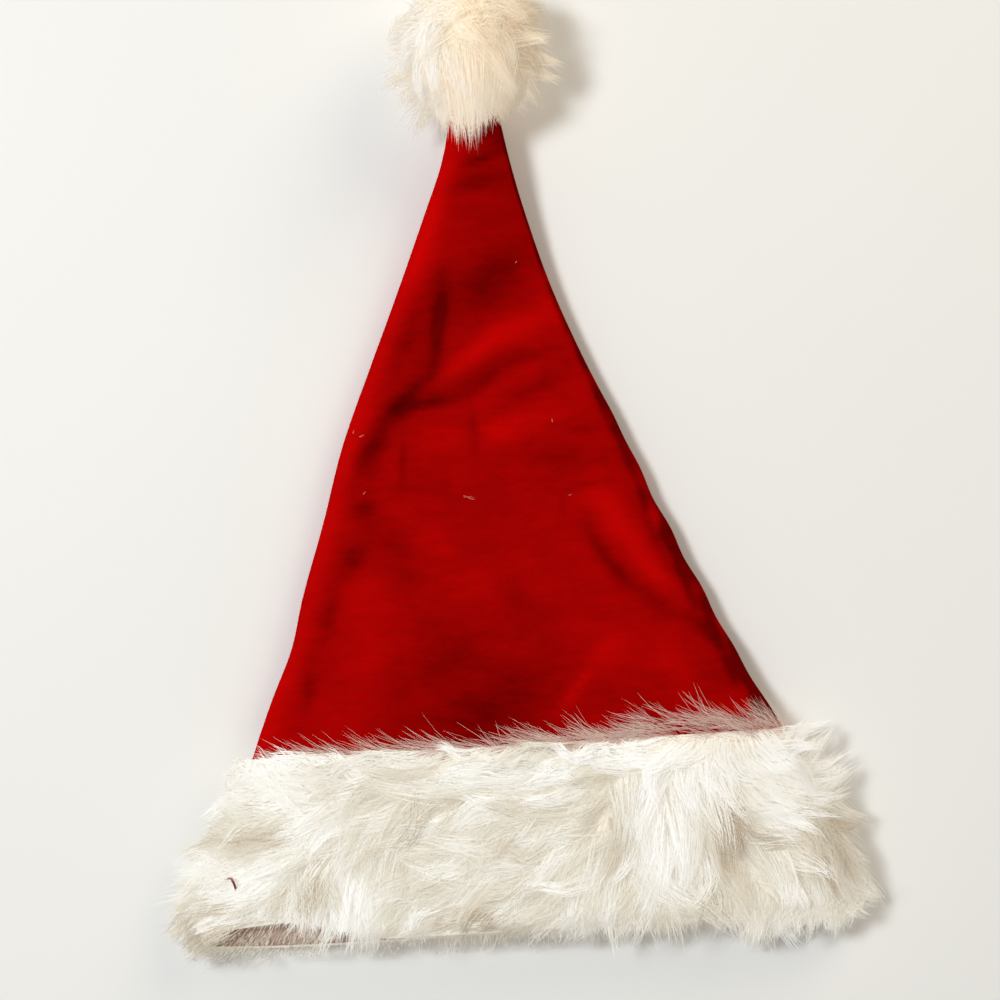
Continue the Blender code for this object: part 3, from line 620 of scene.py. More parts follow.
def support_height(x, y):
    """Height of what the fur lies on: the crown's upper face, and beyond its rims a slope to the surface."""
    inside = np.clip(y, -CUFF_DEPTH, 0.30)
    left = crown_column(inside, "left")
    right = crown_column(inside, "right")
    half = (right - left) / 2
    across = (x - (left + right) / 2) / half
    rise = np.sqrt(np.clip(1.0 - np.clip(across, -1.0, 1.0) ** 2, 0.0, 1.0))
    under = np.maximum(crown_column(inside, "under"), 0.0)
    top = crown_column(inside, "top")
    seam = under + SEAM_LEVEL * (top - under)
    height = seam + (top - seam) * rise ** TOP_ROUNDING
    beyond_side = np.maximum(abs(across) - 1.0, 0.0) * half
    beyond_rim = np.maximum(-CUFF_DEPTH - y, 0.0)
    return height * np.exp(-((beyond_side / 0.016) ** 1.3)) * np.exp(-((beyond_rim / 0.012) ** 1.4))


class Value:
    """A shader socket that plain formulas can use."""

    def __init__(self, finish, socket):
        self.finish = finish
        self.socket = socket

    def maths(self, operation, *others):
        """Put this value and others through a Math node."""
        inputs = dict(enumerate((self, *others)))
        return self.finish.node("ShaderNodeMath", {"operation": operation}, inputs)

    def __add__(self, other):
        return self.maths("ADD", other)

    def __radd__(self, other):
        return self.maths("ADD", other)

    def __sub__(self, other):
        return self.maths("SUBTRACT", other)

    def __rsub__(self, other):
        return (self * -1.0) + other

    def __mul__(self, other):
        return self.maths("MULTIPLY", other)

    def __rmul__(self, other):
        return self.maths("MULTIPLY", other)

    def __pow__(self, other):
        return self.maths("POWER", other)

    def clamped(self):
        """This value kept between 0 and 1."""
        return self.finish.node("ShaderNodeClamp", {}, {"Value": self})


class Finish:
    """A material under construction, with one method that adds any node."""

    def __init__(self, name, **settings):
        self.material = bpy.data.materials.new(name)
        self.material.use_nodes = True
        self.tree = self.material.node_tree
        self.surface = self.tree.nodes["Principled BSDF"]
        for socket, value in settings.items():
            self.surface.inputs[socket.replace("_", " ")].default_value = value

    def feed(self, socket, value):
        """Link a value to a socket, or set it."""
        if isinstance(value, Value):
            self.tree.links.new(value.socket, socket)
        else:
            socket.default_value = value

    def node(self, kind, settings, inputs, output=0):
        """Add a node, set its options and feed its inputs. Returns one of its outputs."""
        made = self.tree.nodes.new(kind)
        for name, value in settings.items():
            setattr(made, name, value)
        for name, value in inputs.items():
            self.feed(made.inputs[name], value)
        return Value(self, made.outputs[output])

    def place(self):
        """The point being shaded, in the hat's own place."""
        return self.node("ShaderNodeTexCoord", {}, {}, "Object")

    def stretched(self, vector, scale, turn=0.0):
        """A vector turned about Z and scaled along each axis."""
        return self.node("ShaderNodeMapping", {}, {
            "Vector": vector,
            "Rotation": (0.0, 0.0, turn),
            "Scale": scale,
        })

    def noise(self, vector, scale, detail=2.0, roughness=0.5):
        """Cloudy noise from 0 to 1."""
        return self.node("ShaderNodeTexNoise", {}, {
            "Vector": vector,
            "Scale": scale,
            "Detail": detail,
            "Roughness": roughness,
        }, "Fac")

    def ramp(self, factor, stops):
        """Colours along a factor, from rows of place and colour."""
        made = self.node("ShaderNodeValToRGB", {}, {"Fac": factor})
        elements = made.socket.node.color_ramp.elements
        elements[0].position, elements[0].color = stops[0][0], (*stops[0][1], 1.0)
        elements[1].position, elements[1].color = stops[-1][0], (*stops[-1][1], 1.0)
        for place, colour in stops[1:-1]:
            elements.new(place).color = (*colour, 1.0)
        return made

    def blend(self, factor, first, second):
        """A mix of two colours."""
        return self.node("ShaderNodeMix", {"data_type": "RGBA"}, {0: factor, 6: first, 7: second}, 2)

    def paint(self, socket, value):
        """Feed one of the surface's own sockets."""
        self.feed(self.surface.inputs[socket], value)

    def bump(self, height, strength, distance):
        """Relief on the surface."""
        self.paint("Normal", self.node("ShaderNodeBump", {}, {
            "Height": height,
            "Strength": strength,
            "Distance": distance,
        }))


def velvet_finish(colour):
    """Crushed red velvet: cloudy, crushed nap with a fine pile, and painted light and shade: darker in the
    creases, hollows and along the right edge, lighter on the swells and the left edge.
    """
    finish = Finish("red_velvet", Roughness=0.92, Metallic=0.0, IOR=1.35)
    finish.paint("Specular IOR Level", 0.0)
    finish.paint("Sheen Weight", 0.04)
    finish.paint("Sheen Roughness", 0.5)
    finish.paint("Sheen Tint", (1.0, 0.01, 0.01, 1.0))
    place = finish.place()
    painted_light_and_shade = finish.node("ShaderNodeAttribute", {"attribute_name": "painted_light_and_shade"}, {}, "Fac")
    clouds = finish.noise(place, 26.0, 3.0, 0.55)
    crush = finish.noise(finish.stretched(place, (95.0, 240.0, 95.0), 0.35), 1.0, 3.0, 0.6)
    pile = finish.noise(place, 1900.0, 2.0, 0.6)
    # The tone mixes the painted light and shade with the velvet's cloudy and crushed mottling and its pile.
    tone = (painted_light_and_shade * 0.5 + (clouds - 0.5) * 0.42 + (crush - 0.5) * 0.34 + (pile - 0.5) * 0.22 + 0.5).clamped()
    deep = [channel * 0.36 for channel in colour]
    bright = [channel * 1.65 for channel in colour]
    finish.paint("Base Color", finish.ramp(tone, ((0.0, deep), (0.5, list(colour)), (1.0, bright))))
    finish.paint("Roughness", 0.86 + crush * 0.12)
    finish.bump(pile * 0.6 + crush * 0.4, 0.35, 0.0004)
    return finish.material


def reverse_finish(colour):
    """The velvet's knitted reverse: dull pink."""
    finish = Finish("velvet_reverse", Roughness=0.95, Metallic=0.0)
    finish.paint("Specular IOR Level", 0.1)
    place = finish.place()
    knit = finish.noise(finish.stretched(place, (900.0, 2600.0, 900.0)), 1.0, 1.0, 0.5)
    clouds = finish.noise(place, 40.0, 2.0, 0.5)
    tone = (knit * 0.5 + clouds * 0.5).clamped()
    pale = [min(1.0, channel * 1.25) for channel in colour]
    dull = [channel * 0.72 for channel in colour]
    finish.paint("Base Color", finish.ramp(tone, ((0.25, dull), (0.75, pale))))
    finish.bump(knit, 0.4, 0.0003)
    return finish.material


def fur_finish(name, stops, root_painted_shade, painted_glow):
    """Hair: its colour comes from the strand's own map, u for the strand's tint and v from root to tip. Its
    roots get painted shade, and part of its colour is a painted glow.
    """
    finish = Finish(name, Roughness=0.62, Metallic=0.0, IOR=1.45)
    finish.paint("Specular IOR Level", 0.18)
    strand = finish.node("ShaderNodeUVMap", {"uv_map": "OFBake"}, {})
    tint = finish.node("ShaderNodeSeparateXYZ", {}, {"Vector": strand}, "X")
    along = finish.node("ShaderNodeSeparateXYZ", {}, {"Vector": strand}, "Y")
    colour = finish.ramp(tint, stops)
    # Darker towards the root: painted shade deep among the hairs.
    shaded = finish.blend(along ** 0.7, root_painted_shade, (1.0, 1.0, 1.0, 1.0))
    mixed = finish.node("ShaderNodeMix", {"data_type": "RGBA", "blend_type": "MULTIPLY"}, {
        0: 1.0,
        6: colour,
        7: shaded,
    }, 2)
    finish.paint("Base Color", finish.blend(1.0 - BOUNCE_SHARE, mixed, (0.0, 0.0, 0.0, 1.0)))
    # Painted glow: the hair's colour also glows, for light scattered between the hairs.
    finish.paint("Emission Color", mixed)
    finish.paint("Emission Strength", painted_glow)
    return finish.material


def undercoat_finish(name, colour):
    """Matted short fur under the long hair, with a painted glow that lightens the shade in the gaps between
    the hairs.
    """
    finish = Finish(name, Roughness=0.95, Metallic=0.0)
    finish.paint("Specular IOR Level", 0.1)
    place = finish.place()
    tufts = finish.noise(place, 260.0, 3.0, 0.6)
    hair = finish.noise(finish.stretched(place, (1400.0, 380.0, 700.0), 0.5), 1.0, 2.0, 0.6)
    tone = (tufts * 0.6 + hair * 0.4).clamped()
    dark = [channel * 0.75 for channel in colour]
    finish.paint("Base Color", finish.ramp(tone, ((0.25, dark), (0.70, list(colour)))))
    # Painted glow: the undercoat glows in its own colour, so the shaded gaps between hairs look lighter.
    finish.paint("Emission Color", tuple(colour) + (1.0,))
    finish.paint("Emission Strength", 0.36)
    finish.bump(hair * 0.5 + tufts, 0.6, 0.0015)
    return finish.material


def plain_finish(name, colour, roughness, mottle, pitch):
    """A dull finish with a faint uneven tone."""
    finish = Finish(name, Roughness=roughness, Metallic=0.0)
    finish.paint("Specular IOR Level", 0.2)
    clouds = finish.noise(finish.place(), pitch, 2.0, 0.5)
    low = [channel * (1.0 - mottle) for channel in colour]
    high = [min(1.0, channel * (1.0 + mottle)) for channel in colour]
    finish.paint("Base Color", finish.ramp(clouds, ((0.2, low), (0.8, high))))
    return finish.material


def deselect():
    """Clear the selection, so that an operator acts only on what is chosen next."""
    bpy.ops.object.select_all(action="DESELECT")


def choose(item):
    """Make one object the active and only selected one."""
    deselect()
    item.select_set(True)
    bpy.context.view_layer.objects.active = item


def wrapped_grid(name, y, angle, points_at):
    """A tube from a grid: its columns go round the section, its rows along it, and its seam is closed."""
    deselect()
    bpy.ops.mesh.primitive_grid_add(x_subdivisions=len(angle) - 1, y_subdivisions=len(y) - 1, size=1.0)
    item = bpy.context.active_object
    item.name = name
    item.data.name = name
    rows, columns = np.meshgrid(y, angle, indexing="ij")
    points = points_at(rows.ravel(), columns.ravel()) + HAT_ORIGIN
    item.data.vertices.foreach_set("co", points.astype(np.float32).ravel())
    bpy.ops.object.mode_set(mode="EDIT")
    bpy.ops.mesh.select_all(action="SELECT")
    bpy.ops.mesh.remove_doubles(threshold=1e-6)
    bpy.ops.object.mode_set(mode="OBJECT")
    return item


def open_edges(item, keep):
    """Select the open edges whose middle passes a test."""
    bpy.ops.object.mode_set(mode="EDIT")
    bpy.ops.mesh.select_all(action="DESELECT")
    bpy.ops.mesh.select_mode(type="EDGE")
    bpy.ops.mesh.select_non_manifold(extend=False, use_wire=False, use_multi_face=False,
                                     use_non_contiguous=False, use_verts=False)
    bpy.ops.object.mode_set(mode="OBJECT")
    points = item.data.vertices
    for edge in item.data.edges:
        middle = (points[edge.vertices[0]].co + points[edge.vertices[1]].co) / 2
        edge.select = edge.select and keep(middle)
    bpy.ops.object.mode_set(mode="EDIT")


def face_outwards():
    """Turn all the faces of the chosen object outwards."""
    bpy.ops.object.mode_set(mode="EDIT")
    bpy.ops.mesh.select_all(action="SELECT")
    bpy.ops.mesh.normals_make_consistent(inside=False)
    bpy.ops.object.mode_set(mode="OBJECT")


def dress(item, materials, node=None):
    """Give a piece its finishes and its body, and let it stand for a solid."""
    item.data.materials.clear()
    for material in materials:
        item.data.materials.append(material)
    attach(item, "root")
    if node:
        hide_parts(node)


def apply_modifiers(item):
    """Apply all the modifiers of the chosen object."""
    choose(item)
    for modifier in list(item.modifiers):
        bpy.ops.object.modifier_apply(modifier=modifier.name)


def strand_mesh(name, paths, radius, tint, lie=None):
    """One mesh of many closed three-sided hairs.

    Each path's last point is a pointed tip and the others are rings. Where lie gives the fur's own outward
    direction, the hairs are shaded mostly by it, as soft dense fur looks.
    """
    count, rings = len(paths), paths.shape[1] - 1
    heading = np.gradient(paths, axis=1)
    heading /= np.maximum(np.linalg.norm(heading, axis=2, keepdims=True), 1e-9)
    helper = np.where(abs(heading[:, :1, 2:3]) > 0.8, (1.0, 0.0, 0.0), (0.0, 0.0, 1.0))
    side = np.cross(heading, np.broadcast_to(helper, heading.shape))
    side /= np.maximum(np.linalg.norm(side, axis=2, keepdims=True), 1e-9)
    other = np.cross(heading, side)
    taper = np.linspace(1.0, 0.6, rings)
    size = (radius[:, None] * taper)[:, :, None, None]
    ring_side, ring_other = side[:, :rings, None], other[:, :rings, None]
    turn = SIDE_TURNS[None, None, :, None]
    tube = paths[:, :rings, None] + size * (ring_side * np.cos(turn) + ring_other * np.sin(turn))
    points = np.concatenate([tube.reshape(count, -1, 3), paths[:, rings:]], axis=1)
    per_hair = points.shape[1]
    steps = np.linspace(0.03, 0.97, rings + 1)
    shift = 0.012
    corners, sides = [2, 1, 0], [3]
    places = [(2 * shift, steps[0]), (shift, steps[0] + 0.02), (0.0, steps[0])]
    for ring in range(rings - 1):
        for i in range(3):
            j = (i + 1) % 3
            corners += [3 * ring + i, 3 * ring + j, 3 * ring + 3 + j, 3 * ring + 3 + i]
            sides.append(4)
            places += [(i * shift, steps[ring]), ((i + 1) * shift, steps[ring]),
                       ((i + 1) * shift, steps[ring + 1]), (i * shift, steps[ring + 1])]
    for i in range(3):
        corners += [3 * rings - 3 + i, 3 * rings - 3 + (i + 1) % 3, 3 * rings]
        sides.append(3)
        places += [(i * shift, steps[rings - 1]), ((i + 1) * shift, steps[rings - 1]),
                   ((i + 0.5) * shift, steps[rings])]
    corners, places = np.array(corners), np.array(places)
    hair = np.arange(count)[:, None]
    mesh = bpy.data.meshes.new(name)
    mesh.vertices.add(count * per_hair)
    mesh.vertices.foreach_set("co", (points.reshape(-1, 3) + HAT_ORIGIN).astype(np.float32).ravel())
    mesh.loops.add(count * len(corners))
    mesh.loops.foreach_set("vertex_index", (corners[None] + hair * per_hair).astype(np.int32).ravel())
    first = np.concatenate([[0], np.cumsum(sides)[:-1]])
    mesh.polygons.add(count * len(sides))
    mesh.polygons.foreach_set("loop_start", (first[None] + hair * len(corners)).astype(np.int32).ravel())
    layer = mesh.uv_layers.new(name="OFBake")
    uv = np.broadcast_to(places[None], (count, len(places), 2)).copy()
    uv[:, :, 0] += np.clip(tint, 0.0, 1.0)[:, None] * (0.96 - 3 * shift) + 0.02
    layer.uv.foreach_set("vector", uv.astype(np.float32).ravel())
    mesh.update(calc_edges=True)
    mesh.shade_smooth()
    if lie is not None:
        round_way = np.broadcast_to(ring_side * np.cos(turn) + ring_other * np.sin(turn), tube.shape)
        soft = np.broadcast_to(lie, paths.shape)
        faced = round_way * (1.0 - LIE_SHARE) + soft[:, :rings, None] * LIE_SHARE
        normal = np.concatenate([faced.reshape(count, -1, 3), soft[:, rings:]], axis=1)
        normal /= np.maximum(np.linalg.norm(normal, axis=2, keepdims=True), 1e-9)
        mesh.normals_split_custom_set_from_vertices(normal.reshape(-1, 3))
    item = bpy.data.objects.new(name, mesh)
    bpy.context.scene.collection.objects.link(item)
    return item


def smooth_step(t):
    """A share that starts and ends gently."""
    t = np.clip(t, 0.0, 1.0)
    return t * t * (3.0 - 2.0 * t)


def along_path(knots, share):
    """Points of each polyline at shares of its length. Knots are evenly spaced."""
    last = knots.shape[1] - 1
    place = np.clip(share, 0.0, 1.0) * last
    index = np.minimum(place.astype(int), last - 1)
    part = (place - index)[..., None]
    rows = np.arange(len(knots))[:, None]
    return knots[rows, index] * (1.0 - part) + knots[rows, index + 1] * part


def comb(x, y, length, chance):
    """Knots in plan that follow the cuff's flow from each root, and how tall each tuft stands."""
    knots = [np.stack([x, y], axis=-1)]
    turn = np.radians(chance.normal(0.0, WANDER, len(x)))
    curl = np.radians(chance.normal(0.0, BEND, len(x)))
    wave = np.radians(chance.normal(0.0, WAVE, len(x)))
    phase = chance.uniform(0.0, 2.0 * math.pi, len(x))
    step = length / COMB_STEPS
    for i in range(COMB_STEPS):
        east, north, _ = cuff_flow(knots[-1][:, 0], knots[-1][:, 1])
        angle = turn + curl * (i / COMB_STEPS) + wave * np.sin(phase + 1.5 * math.pi * i / COMB_STEPS)
        move_x = east * np.cos(angle) - north * np.sin(angle)
        move_y = east * np.sin(angle) + north * np.cos(angle)
        knots.append(knots[-1] + np.stack([move_x, move_y], axis=-1) * step[:, None])
    return np.stack(knots, axis=1), cuff_flow(x, y)[2]


def gathered(knots, hairs, spread, gather, chance):
    """Strand paths in plan: each tuft's hairs start round its root and draw together towards its tip."""
    count = len(knots)
    owner = np.repeat(np.arange(count), hairs)
    total = len(owner)
    reach = chance.uniform(0.72, 1.06, total)
    share = np.minimum(RING_SHARES[None] * reach[:, None], 1.0)
    centre = along_path(knots[owner], share)
    radius = spread[owner] * np.sqrt(chance.uniform(0.0, 1.0, total))
    turn = chance.uniform(0.0, 2.0 * math.pi, total)
    offset = np.stack([radius * np.cos(turn), radius * np.sin(turn)], axis=-1)
    close = 1.0 - gather[owner][:, None] * smooth_step(RING_SHARES[None] * 1.05)
    fray = chance.normal(0.0, 0.0012, (total, 1, 2)) * RING_SHARES[None, :, None] ** 2
    return centre + offset[:, None] * close[:, :, None] + fray, owner


def cuff_hair(growth, seed, size, fullness):
    """Long hair over the cuff's upper face, in tufts that follow the flow and droop past the rims."""
    chance = np.random.default_rng(seed)
    tufts = int(CUFF_TUFTS * fullness)
    share = spread_evenly(tufts, chance)
    y = CUFF_NEAR + (CUFF_FAR - CUFF_NEAR) * share[:, 0]
    left = crown_column(y, "left") - BACKING
    right = crown_column(y, "right") + BACKING
    low, high = math.cos(math.radians(growth.end)), math.cos(math.radians(growth.start))
    across = low + (high - low) * share[:, 1]
    x = (left + right) / 2 + (right - left) / 2 * across
    near = np.maximum(CUFF_NEAR, np.interp(x, *zip(*LOWER_REACH)) + 0.002)
    y = near + (CUFF_FAR - near) * share[:, 0]
    length = growth.length * chance.uniform(0.75, 1.25, tufts)
    length *= 0.6 + 0.4 * smooth_step((-0.003 - y) / 0.02)
    knots, height = comb(x, y, length, chance)
    knots = within_reach(knots, chance.normal(0.0, REACH_SPREAD, tufts), RIM_HANG * (x > RIM_LEFT)[:, None])
    spread = TUFT_SPREAD * chance.uniform(0.8, 1.3, tufts)
    plan, owner = gathered(knots, TUFT_HAIRS, spread, chance.uniform(0.35, 0.85, tufts), chance)
    total = len(owner)
    plan[..., 1] -= np.maximum(plan[:, :1, 1] - CUFF_EDGE, 0.0)
    edge = CUFF_EDGE + 0.0005 + chance.exponential(EDGE_SPREAD, total)[:, None]
    plan[..., 1] = np.where(plan[..., 0] < EDGE_FREE, np.minimum(plan[..., 1], edge), plan[..., 1])
    lift = height[owner] * chance.uniform(0.70, 1.10, tufts)[owner] * chance.uniform(0.65, 1.1, total)
    rise = np.array((0.0, 0.66, 1.0, 0.98, 0.80))
    lift = lift[:, None] * rise[None] * (1.0 - 0.45 * smooth_step((-0.066 - plan[..., 1]) / 0.022))
    z = support_height(plan[..., 0], plan[..., 1]) + lift
    z[:, 0] = support_height(plan[:, 0, 0], plan[:, 0, 1]) + 0.0005
    paths = np.concatenate([plan, np.maximum(z, CUFF_CLEARANCE)[..., None]], axis=-1)
    tint = cuff_tint(paths[:, 2, 0], paths[:, 2, 1])
    tint = tint + TINT_CONTRAST * (tint - TINT_MIDDLE)
    tint = tint + chance.normal(0.0, 0.17, tufts)[owner] + chance.normal(0.0, 0.045, total)
    radius = size * chance.uniform(0.75, 1.15, total)
    lie = support_lie(plan[..., 0], plan[..., 1])
    return strand_mesh(growth.name, paths, radius, np.clip(tint, *TINT_RANGE), lie)


def rim_hair(seed, size, fullness):
    """Thin hair that hangs from the cuff's lower rim down to the surface, sparser at the left."""
    chance = np.random.default_rng(seed)
    tufts, hairs = int(240 * fullness), 13
    x = -0.158 + 0.316 * spread_evenly(tufts, chance)[:, 1]
    moved = (x < RIM_LEFT) & (chance.uniform(0.0, 1.0, tufts) < 0.35)
    x = np.where(moved, chance.uniform(-0.11, 0.155, tufts), x)
    y = np.interp(x, *zip(*LOWER_REACH)) + chance.uniform(0.001, 0.010, tufts)
    y = np.maximum(y, -0.0875)
    root_z = support_height(x, y) + chance.uniform(0.003, 0.009, tufts)
    heading = np.interp(x, *zip(*RIM_HEADINGS))
    heading = np.radians(heading + chance.normal(0.0, 22.0, tufts))
    length = chance.uniform(0.007, 0.021, tufts) * (1.0 + 0.20 * (x < -0.05))
    owner = np.repeat(np.arange(tufts), hairs)
    total = len(owner)
    offset = chance.normal(0.0, 1.0, (total, 3)) * (0.0026, 0.0012, 0.0022)
    reach = RING_SHARES[None] * chance.uniform(0.55, 1.15, total)[:, None]
    close = 1.0 - chance.uniform(0.2, 0.75, tufts)[owner][:, None] * smooth_step(RING_SHARES[None])
    way = np.stack([np.cos(heading), np.sin(heading), chance.uniform(-0.9, 0.05, tufts)], axis=-1)[owner]
    root = np.stack([x, y, root_z], axis=-1)[owner]
    gone = (length[owner][:, None] * reach)[..., None]
    paths = root[:, None] + way[:, None] * gone + offset[:, None] * close[..., None]
    paths[..., 2] -= 0.012 * reach ** 2
    paths[..., 0] += chance.normal(0.0, 0.0016, total)[:, None] * RING_SHARES[None] ** 2
    on_lip = smooth_step((paths[..., 1] + 0.101) / 0.003)
    lip = LIP_HEIGHT * on_lip * smooth_step((0.050 - paths[..., 0]) / 0.03)
    low = CUFF_CLEARANCE + 0.001 * chance.uniform(0.0, 1.0, total)[:, None]
    paths[..., 2] = np.maximum(paths[..., 2], low + lip)
    tint = cuff_tint(paths[:, 2, 0], paths[:, 2, 1]) + chance.normal(0.0, 0.06, total)
    lie = np.array((0.0, -0.20, 0.98))
    radius = 0.85 * size * chance.uniform(0.7, 1.1, total)
    return strand_mesh("fur_cuff_rim_hair", paths[:, SHORT_RINGS], radius, np.clip(tint, *TINT_RANGE), lie)


def under_hair(seed, size, fullness):
    """Hair on the cuff's underside and sides, which lies on the surface. Every other tuft is on the lip."""
    chance = np.random.default_rng(seed)
    tufts, hairs = int(170 * fullness), 20
    y = chance.uniform(-0.078, -0.006, tufts)
    angle = np.radians(chance.uniform(172.0, 368.0, tufts))
    lip = np.arange(tufts) % 2 == 0
    y = np.where(lip, -CUFF_DEPTH, y)
    angle = np.where(lip, np.radians(chance.uniform(182.0, 300.0, tufts)), angle)
    root = section_points(y, angle, BACKING)
    across, rise = np.cos(angle), np.sin(angle)
    outward = np.stack([across, -0.25 * np.ones(tufts), np.minimum(rise, 0.0) * 0.35], axis=-1)
    to_mouth = np.stack([0.5 * across, -np.ones(tufts), -0.25 * abs(rise)], axis=-1)
    heading = outward * abs(across)[:, None] ** 2 + to_mouth
    heading /= np.linalg.norm(heading, axis=1, keepdims=True)
    length = np.minimum(0.026, 0.010 + 0.5 * (y + 0.088)) * chance.uniform(0.7, 1.2, tufts)
    root[:, 2] = np.where(lip, np.maximum(root[:, 2], 0.0) + 0.0045, root[:, 2])
    length = np.where(lip, chance.uniform(0.010, 0.018, tufts), length)
    owner = np.repeat(np.arange(tufts), hairs)
    total = len(owner)
    offset = chance.normal(0.0, 0.0042, (total, 3))
    offset[..., 2] = np.where(lip[owner], abs(offset[..., 2]) * 0.3, offset[..., 2])
    gather = chance.uniform(0.3, 0.7, tufts)[owner]
    share = RING_SHARES[None] * chance.uniform(0.7, 1.05, total)[:, None]
    droop = np.zeros((total, len(RING_SHARES), 3))
    droop[..., 2] = -0.010 * share ** 2 * np.where(lip[owner], 0.45, 1.0)[:, None]
    close = 1.0 - gather[:, None] * smooth_step(RING_SHARES[None])
    paths = root[owner][:, None] + heading[owner][:, None] * (length[owner][:, None] * share)[..., None]
    slack = chance.normal(-0.002, REACH_SPREAD, total)
    paths = within_reach(paths + offset[:, None] * close[..., None] + droop, slack, 0.012)
    low = CUFF_CLEARANCE + 0.0012 * chance.uniform(0.0, 1.0, total)[:, None]
    paths[..., 2] = np.maximum(paths[..., 2], low)
    # Painted shade: hair under the cuff and on its lip is darker, as it lies in the cuff's shadow.
    tint = cuff_tint(paths[:, 2, 0], paths[:, 2, 1]) - 0.05
    tint = tint + chance.normal(0.0, 0.06, total) - 0.12 * lip[owner]
    lie = np.broadcast_to(outward[owner][:, None], paths.shape) + np.array((0.0, -0.2, 0.0))
    facing = np.where(angle[owner] % (2.0 * math.pi) > math.pi, -0.5, 0.4)
    lie[..., 2] = facing[:, None] + 1.6 * RING_SHARES[None]
    lie /= np.linalg.norm(lie, axis=-1, keepdims=True)
    radius = size * chance.uniform(0.75, 1.15, total)
    tint = np.clip(tint, *TINT_RANGE)
    return strand_mesh("fur_cuff_hair_under", paths[:, SHORT_RINGS], radius, tint, lie[:, SHORT_RINGS])


def fringe_hair(seed, size, fullness):
    """Fine hair that lies up and to the left from the cuff's upper edge over the velvet."""
    chance = np.random.default_rng(seed)
    locks, hairs = int(270 * fullness), 6
    share = chance.uniform(0.0, 1.0, locks)
    share = np.where(chance.uniform(0.0, 1.0, locks) < 0.06, chance.uniform(0.70, 0.99, locks), share)
    x = -0.119 + 0.246 * share
    bump = smooth_step((x - 0.046) / 0.016) * smooth_step((0.112 - x) / 0.014)
    y = chance.uniform(-0.0060, 0.0005, locks) + 0.0090 * bump * chance.uniform(0.0, 1.0, locks) ** 1.3
    heading = 164.0 - 2.0 * share + chance.normal(0.0, 4.0 + 8.0 * share, locks)
    heading -= 34.0 * np.clip((x - 0.108) / 0.016, 0.0, 1.0)
    owner = np.repeat(np.arange(locks), hairs)
    total = len(owner)
    x = x[owner] + chance.normal(0.0, 0.0022, total)
    y = y[owner] + chance.normal(0.0, 0.0007, total)
    heading = np.radians(heading[owner] + chance.normal(0.0, 4.0 + 6.0 * share[owner], total))
    length = chance.uniform(0.008, 0.023, total)
    length *= 0.55 + 0.45 * smooth_step((x + 0.124) / 0.02)
    curl = np.radians(chance.normal(0.0, 10.0, locks)[owner] + chance.normal(0.0, 7.0, total))
    plan = [np.stack([x, y], axis=-1)]
    for gap in np.diff(RING_SHARES):
        heading = heading + curl * gap
        way = np.stack([np.cos(heading), np.sin(heading)], axis=-1)
        plan.append(plan[-1] + way * (length * gap)[:, None])
    plan = np.stack(plan, axis=1)
    lift = chance.uniform(0.0012, 0.0075, total)[:, None] * np.array((0.3, 0.8, 1.0, 0.8, 0.5))[None]
    z = support_height(plan[..., 0], plan[..., 1]) + lift + CUFF_CLEARANCE
    paths = np.concatenate([plan, z[..., None]], axis=-1)
    # Painted shade: the fringe is darker than the cuff's hair.
    tint = np.clip(0.42 + chance.normal(0.0, 0.15, total), *TINT_RANGE)
    radius = 0.55 * size * chance.uniform(0.6, 1.1, total)
    return strand_mesh("fur_cuff_fringe", paths[:, SHORT_RINGS], radius, tint, np.array((0.0, 0.2, 0.98)))


def pompom_hair(seed, size, fullness):
    """The pompom's long hair: tufts all round, combed over the top and down towards the crown's tip."""
    chance = np.random.default_rng(seed)
    tufts, hairs = int(125 * fullness), 64
    golden = math.pi * (3.0 - math.sqrt(5.0))
    order = np.arange(tufts)
    level = 1.0 - 2.0 * (order + 0.5) / tufts
    ring = np.sqrt(1.0 - level ** 2)
    direction = np.stack([ring * np.cos(golden * order), ring * np.sin(golden * order), level], axis=-1)
    combed = smooth_step((level + 0.55) / 0.9)
    to_crown = combed * (0.30 + 0.95 * smooth_step((0.30 - direction[:, 1]) / 0.6))
    comb_way = np.stack([
        0.20 * direction[:, 0] + chance.normal(0.0, 0.42, tufts),
        -to_crown + chance.normal(0.0, 0.30, tufts),
        -0.10 + chance.normal(0.0, 0.22, tufts),
    ], axis=-1)
    reach = POMPOM_REACH * chance.uniform(0.80, 1.12, tufts)
    owner = np.repeat(order, hairs)
    total = len(owner)
    spread = chance.normal(0.0, 0.17, (total, 3))
    gather = chance.uniform(0.55, 0.92, tufts)[owner]
    share = RING_SHARES[None] * chance.uniform(0.74, 1.05, total)[:, None]
    close = (1.0 - gather[:, None] * smooth_step(RING_SHARES[None]))[..., None]
    ray = direction[owner][:, None] + comb_way[owner][:, None] * share[..., None] + spread[:, None] * close
    ray = ray + chance.normal(0.0, 0.05, (total, 1, 3)) * share[..., None] ** 2
    ray /= np.linalg.norm(ray, axis=2, keepdims=True)
    distance = POMPOM_ROOT + (reach[owner][:, None] - POMPOM_ROOT) * np.minimum(share, 1.0) ** 0.6
    paths = POMPOM_CENTRE + ray * distance[..., None]
    paths[..., 2] = np.maximum(paths[..., 2], POMPOM_CLEARANCE)
    # Painted shade and light: darker on the right side, away from the light, and lighter on top.
    tint = 0.52 - 0.42 * ray[:, 2, 0] + 0.10 * ray[:, 2, 2] + chance.normal(0.0, 0.11, tufts)[owner]
    tint = np.clip(tint + chance.normal(0.0, 0.05, total), *TINT_RANGE)
    return strand_mesh("pompom_hair", paths, size * chance.uniform(0.75, 1.15, total), tint, ray)


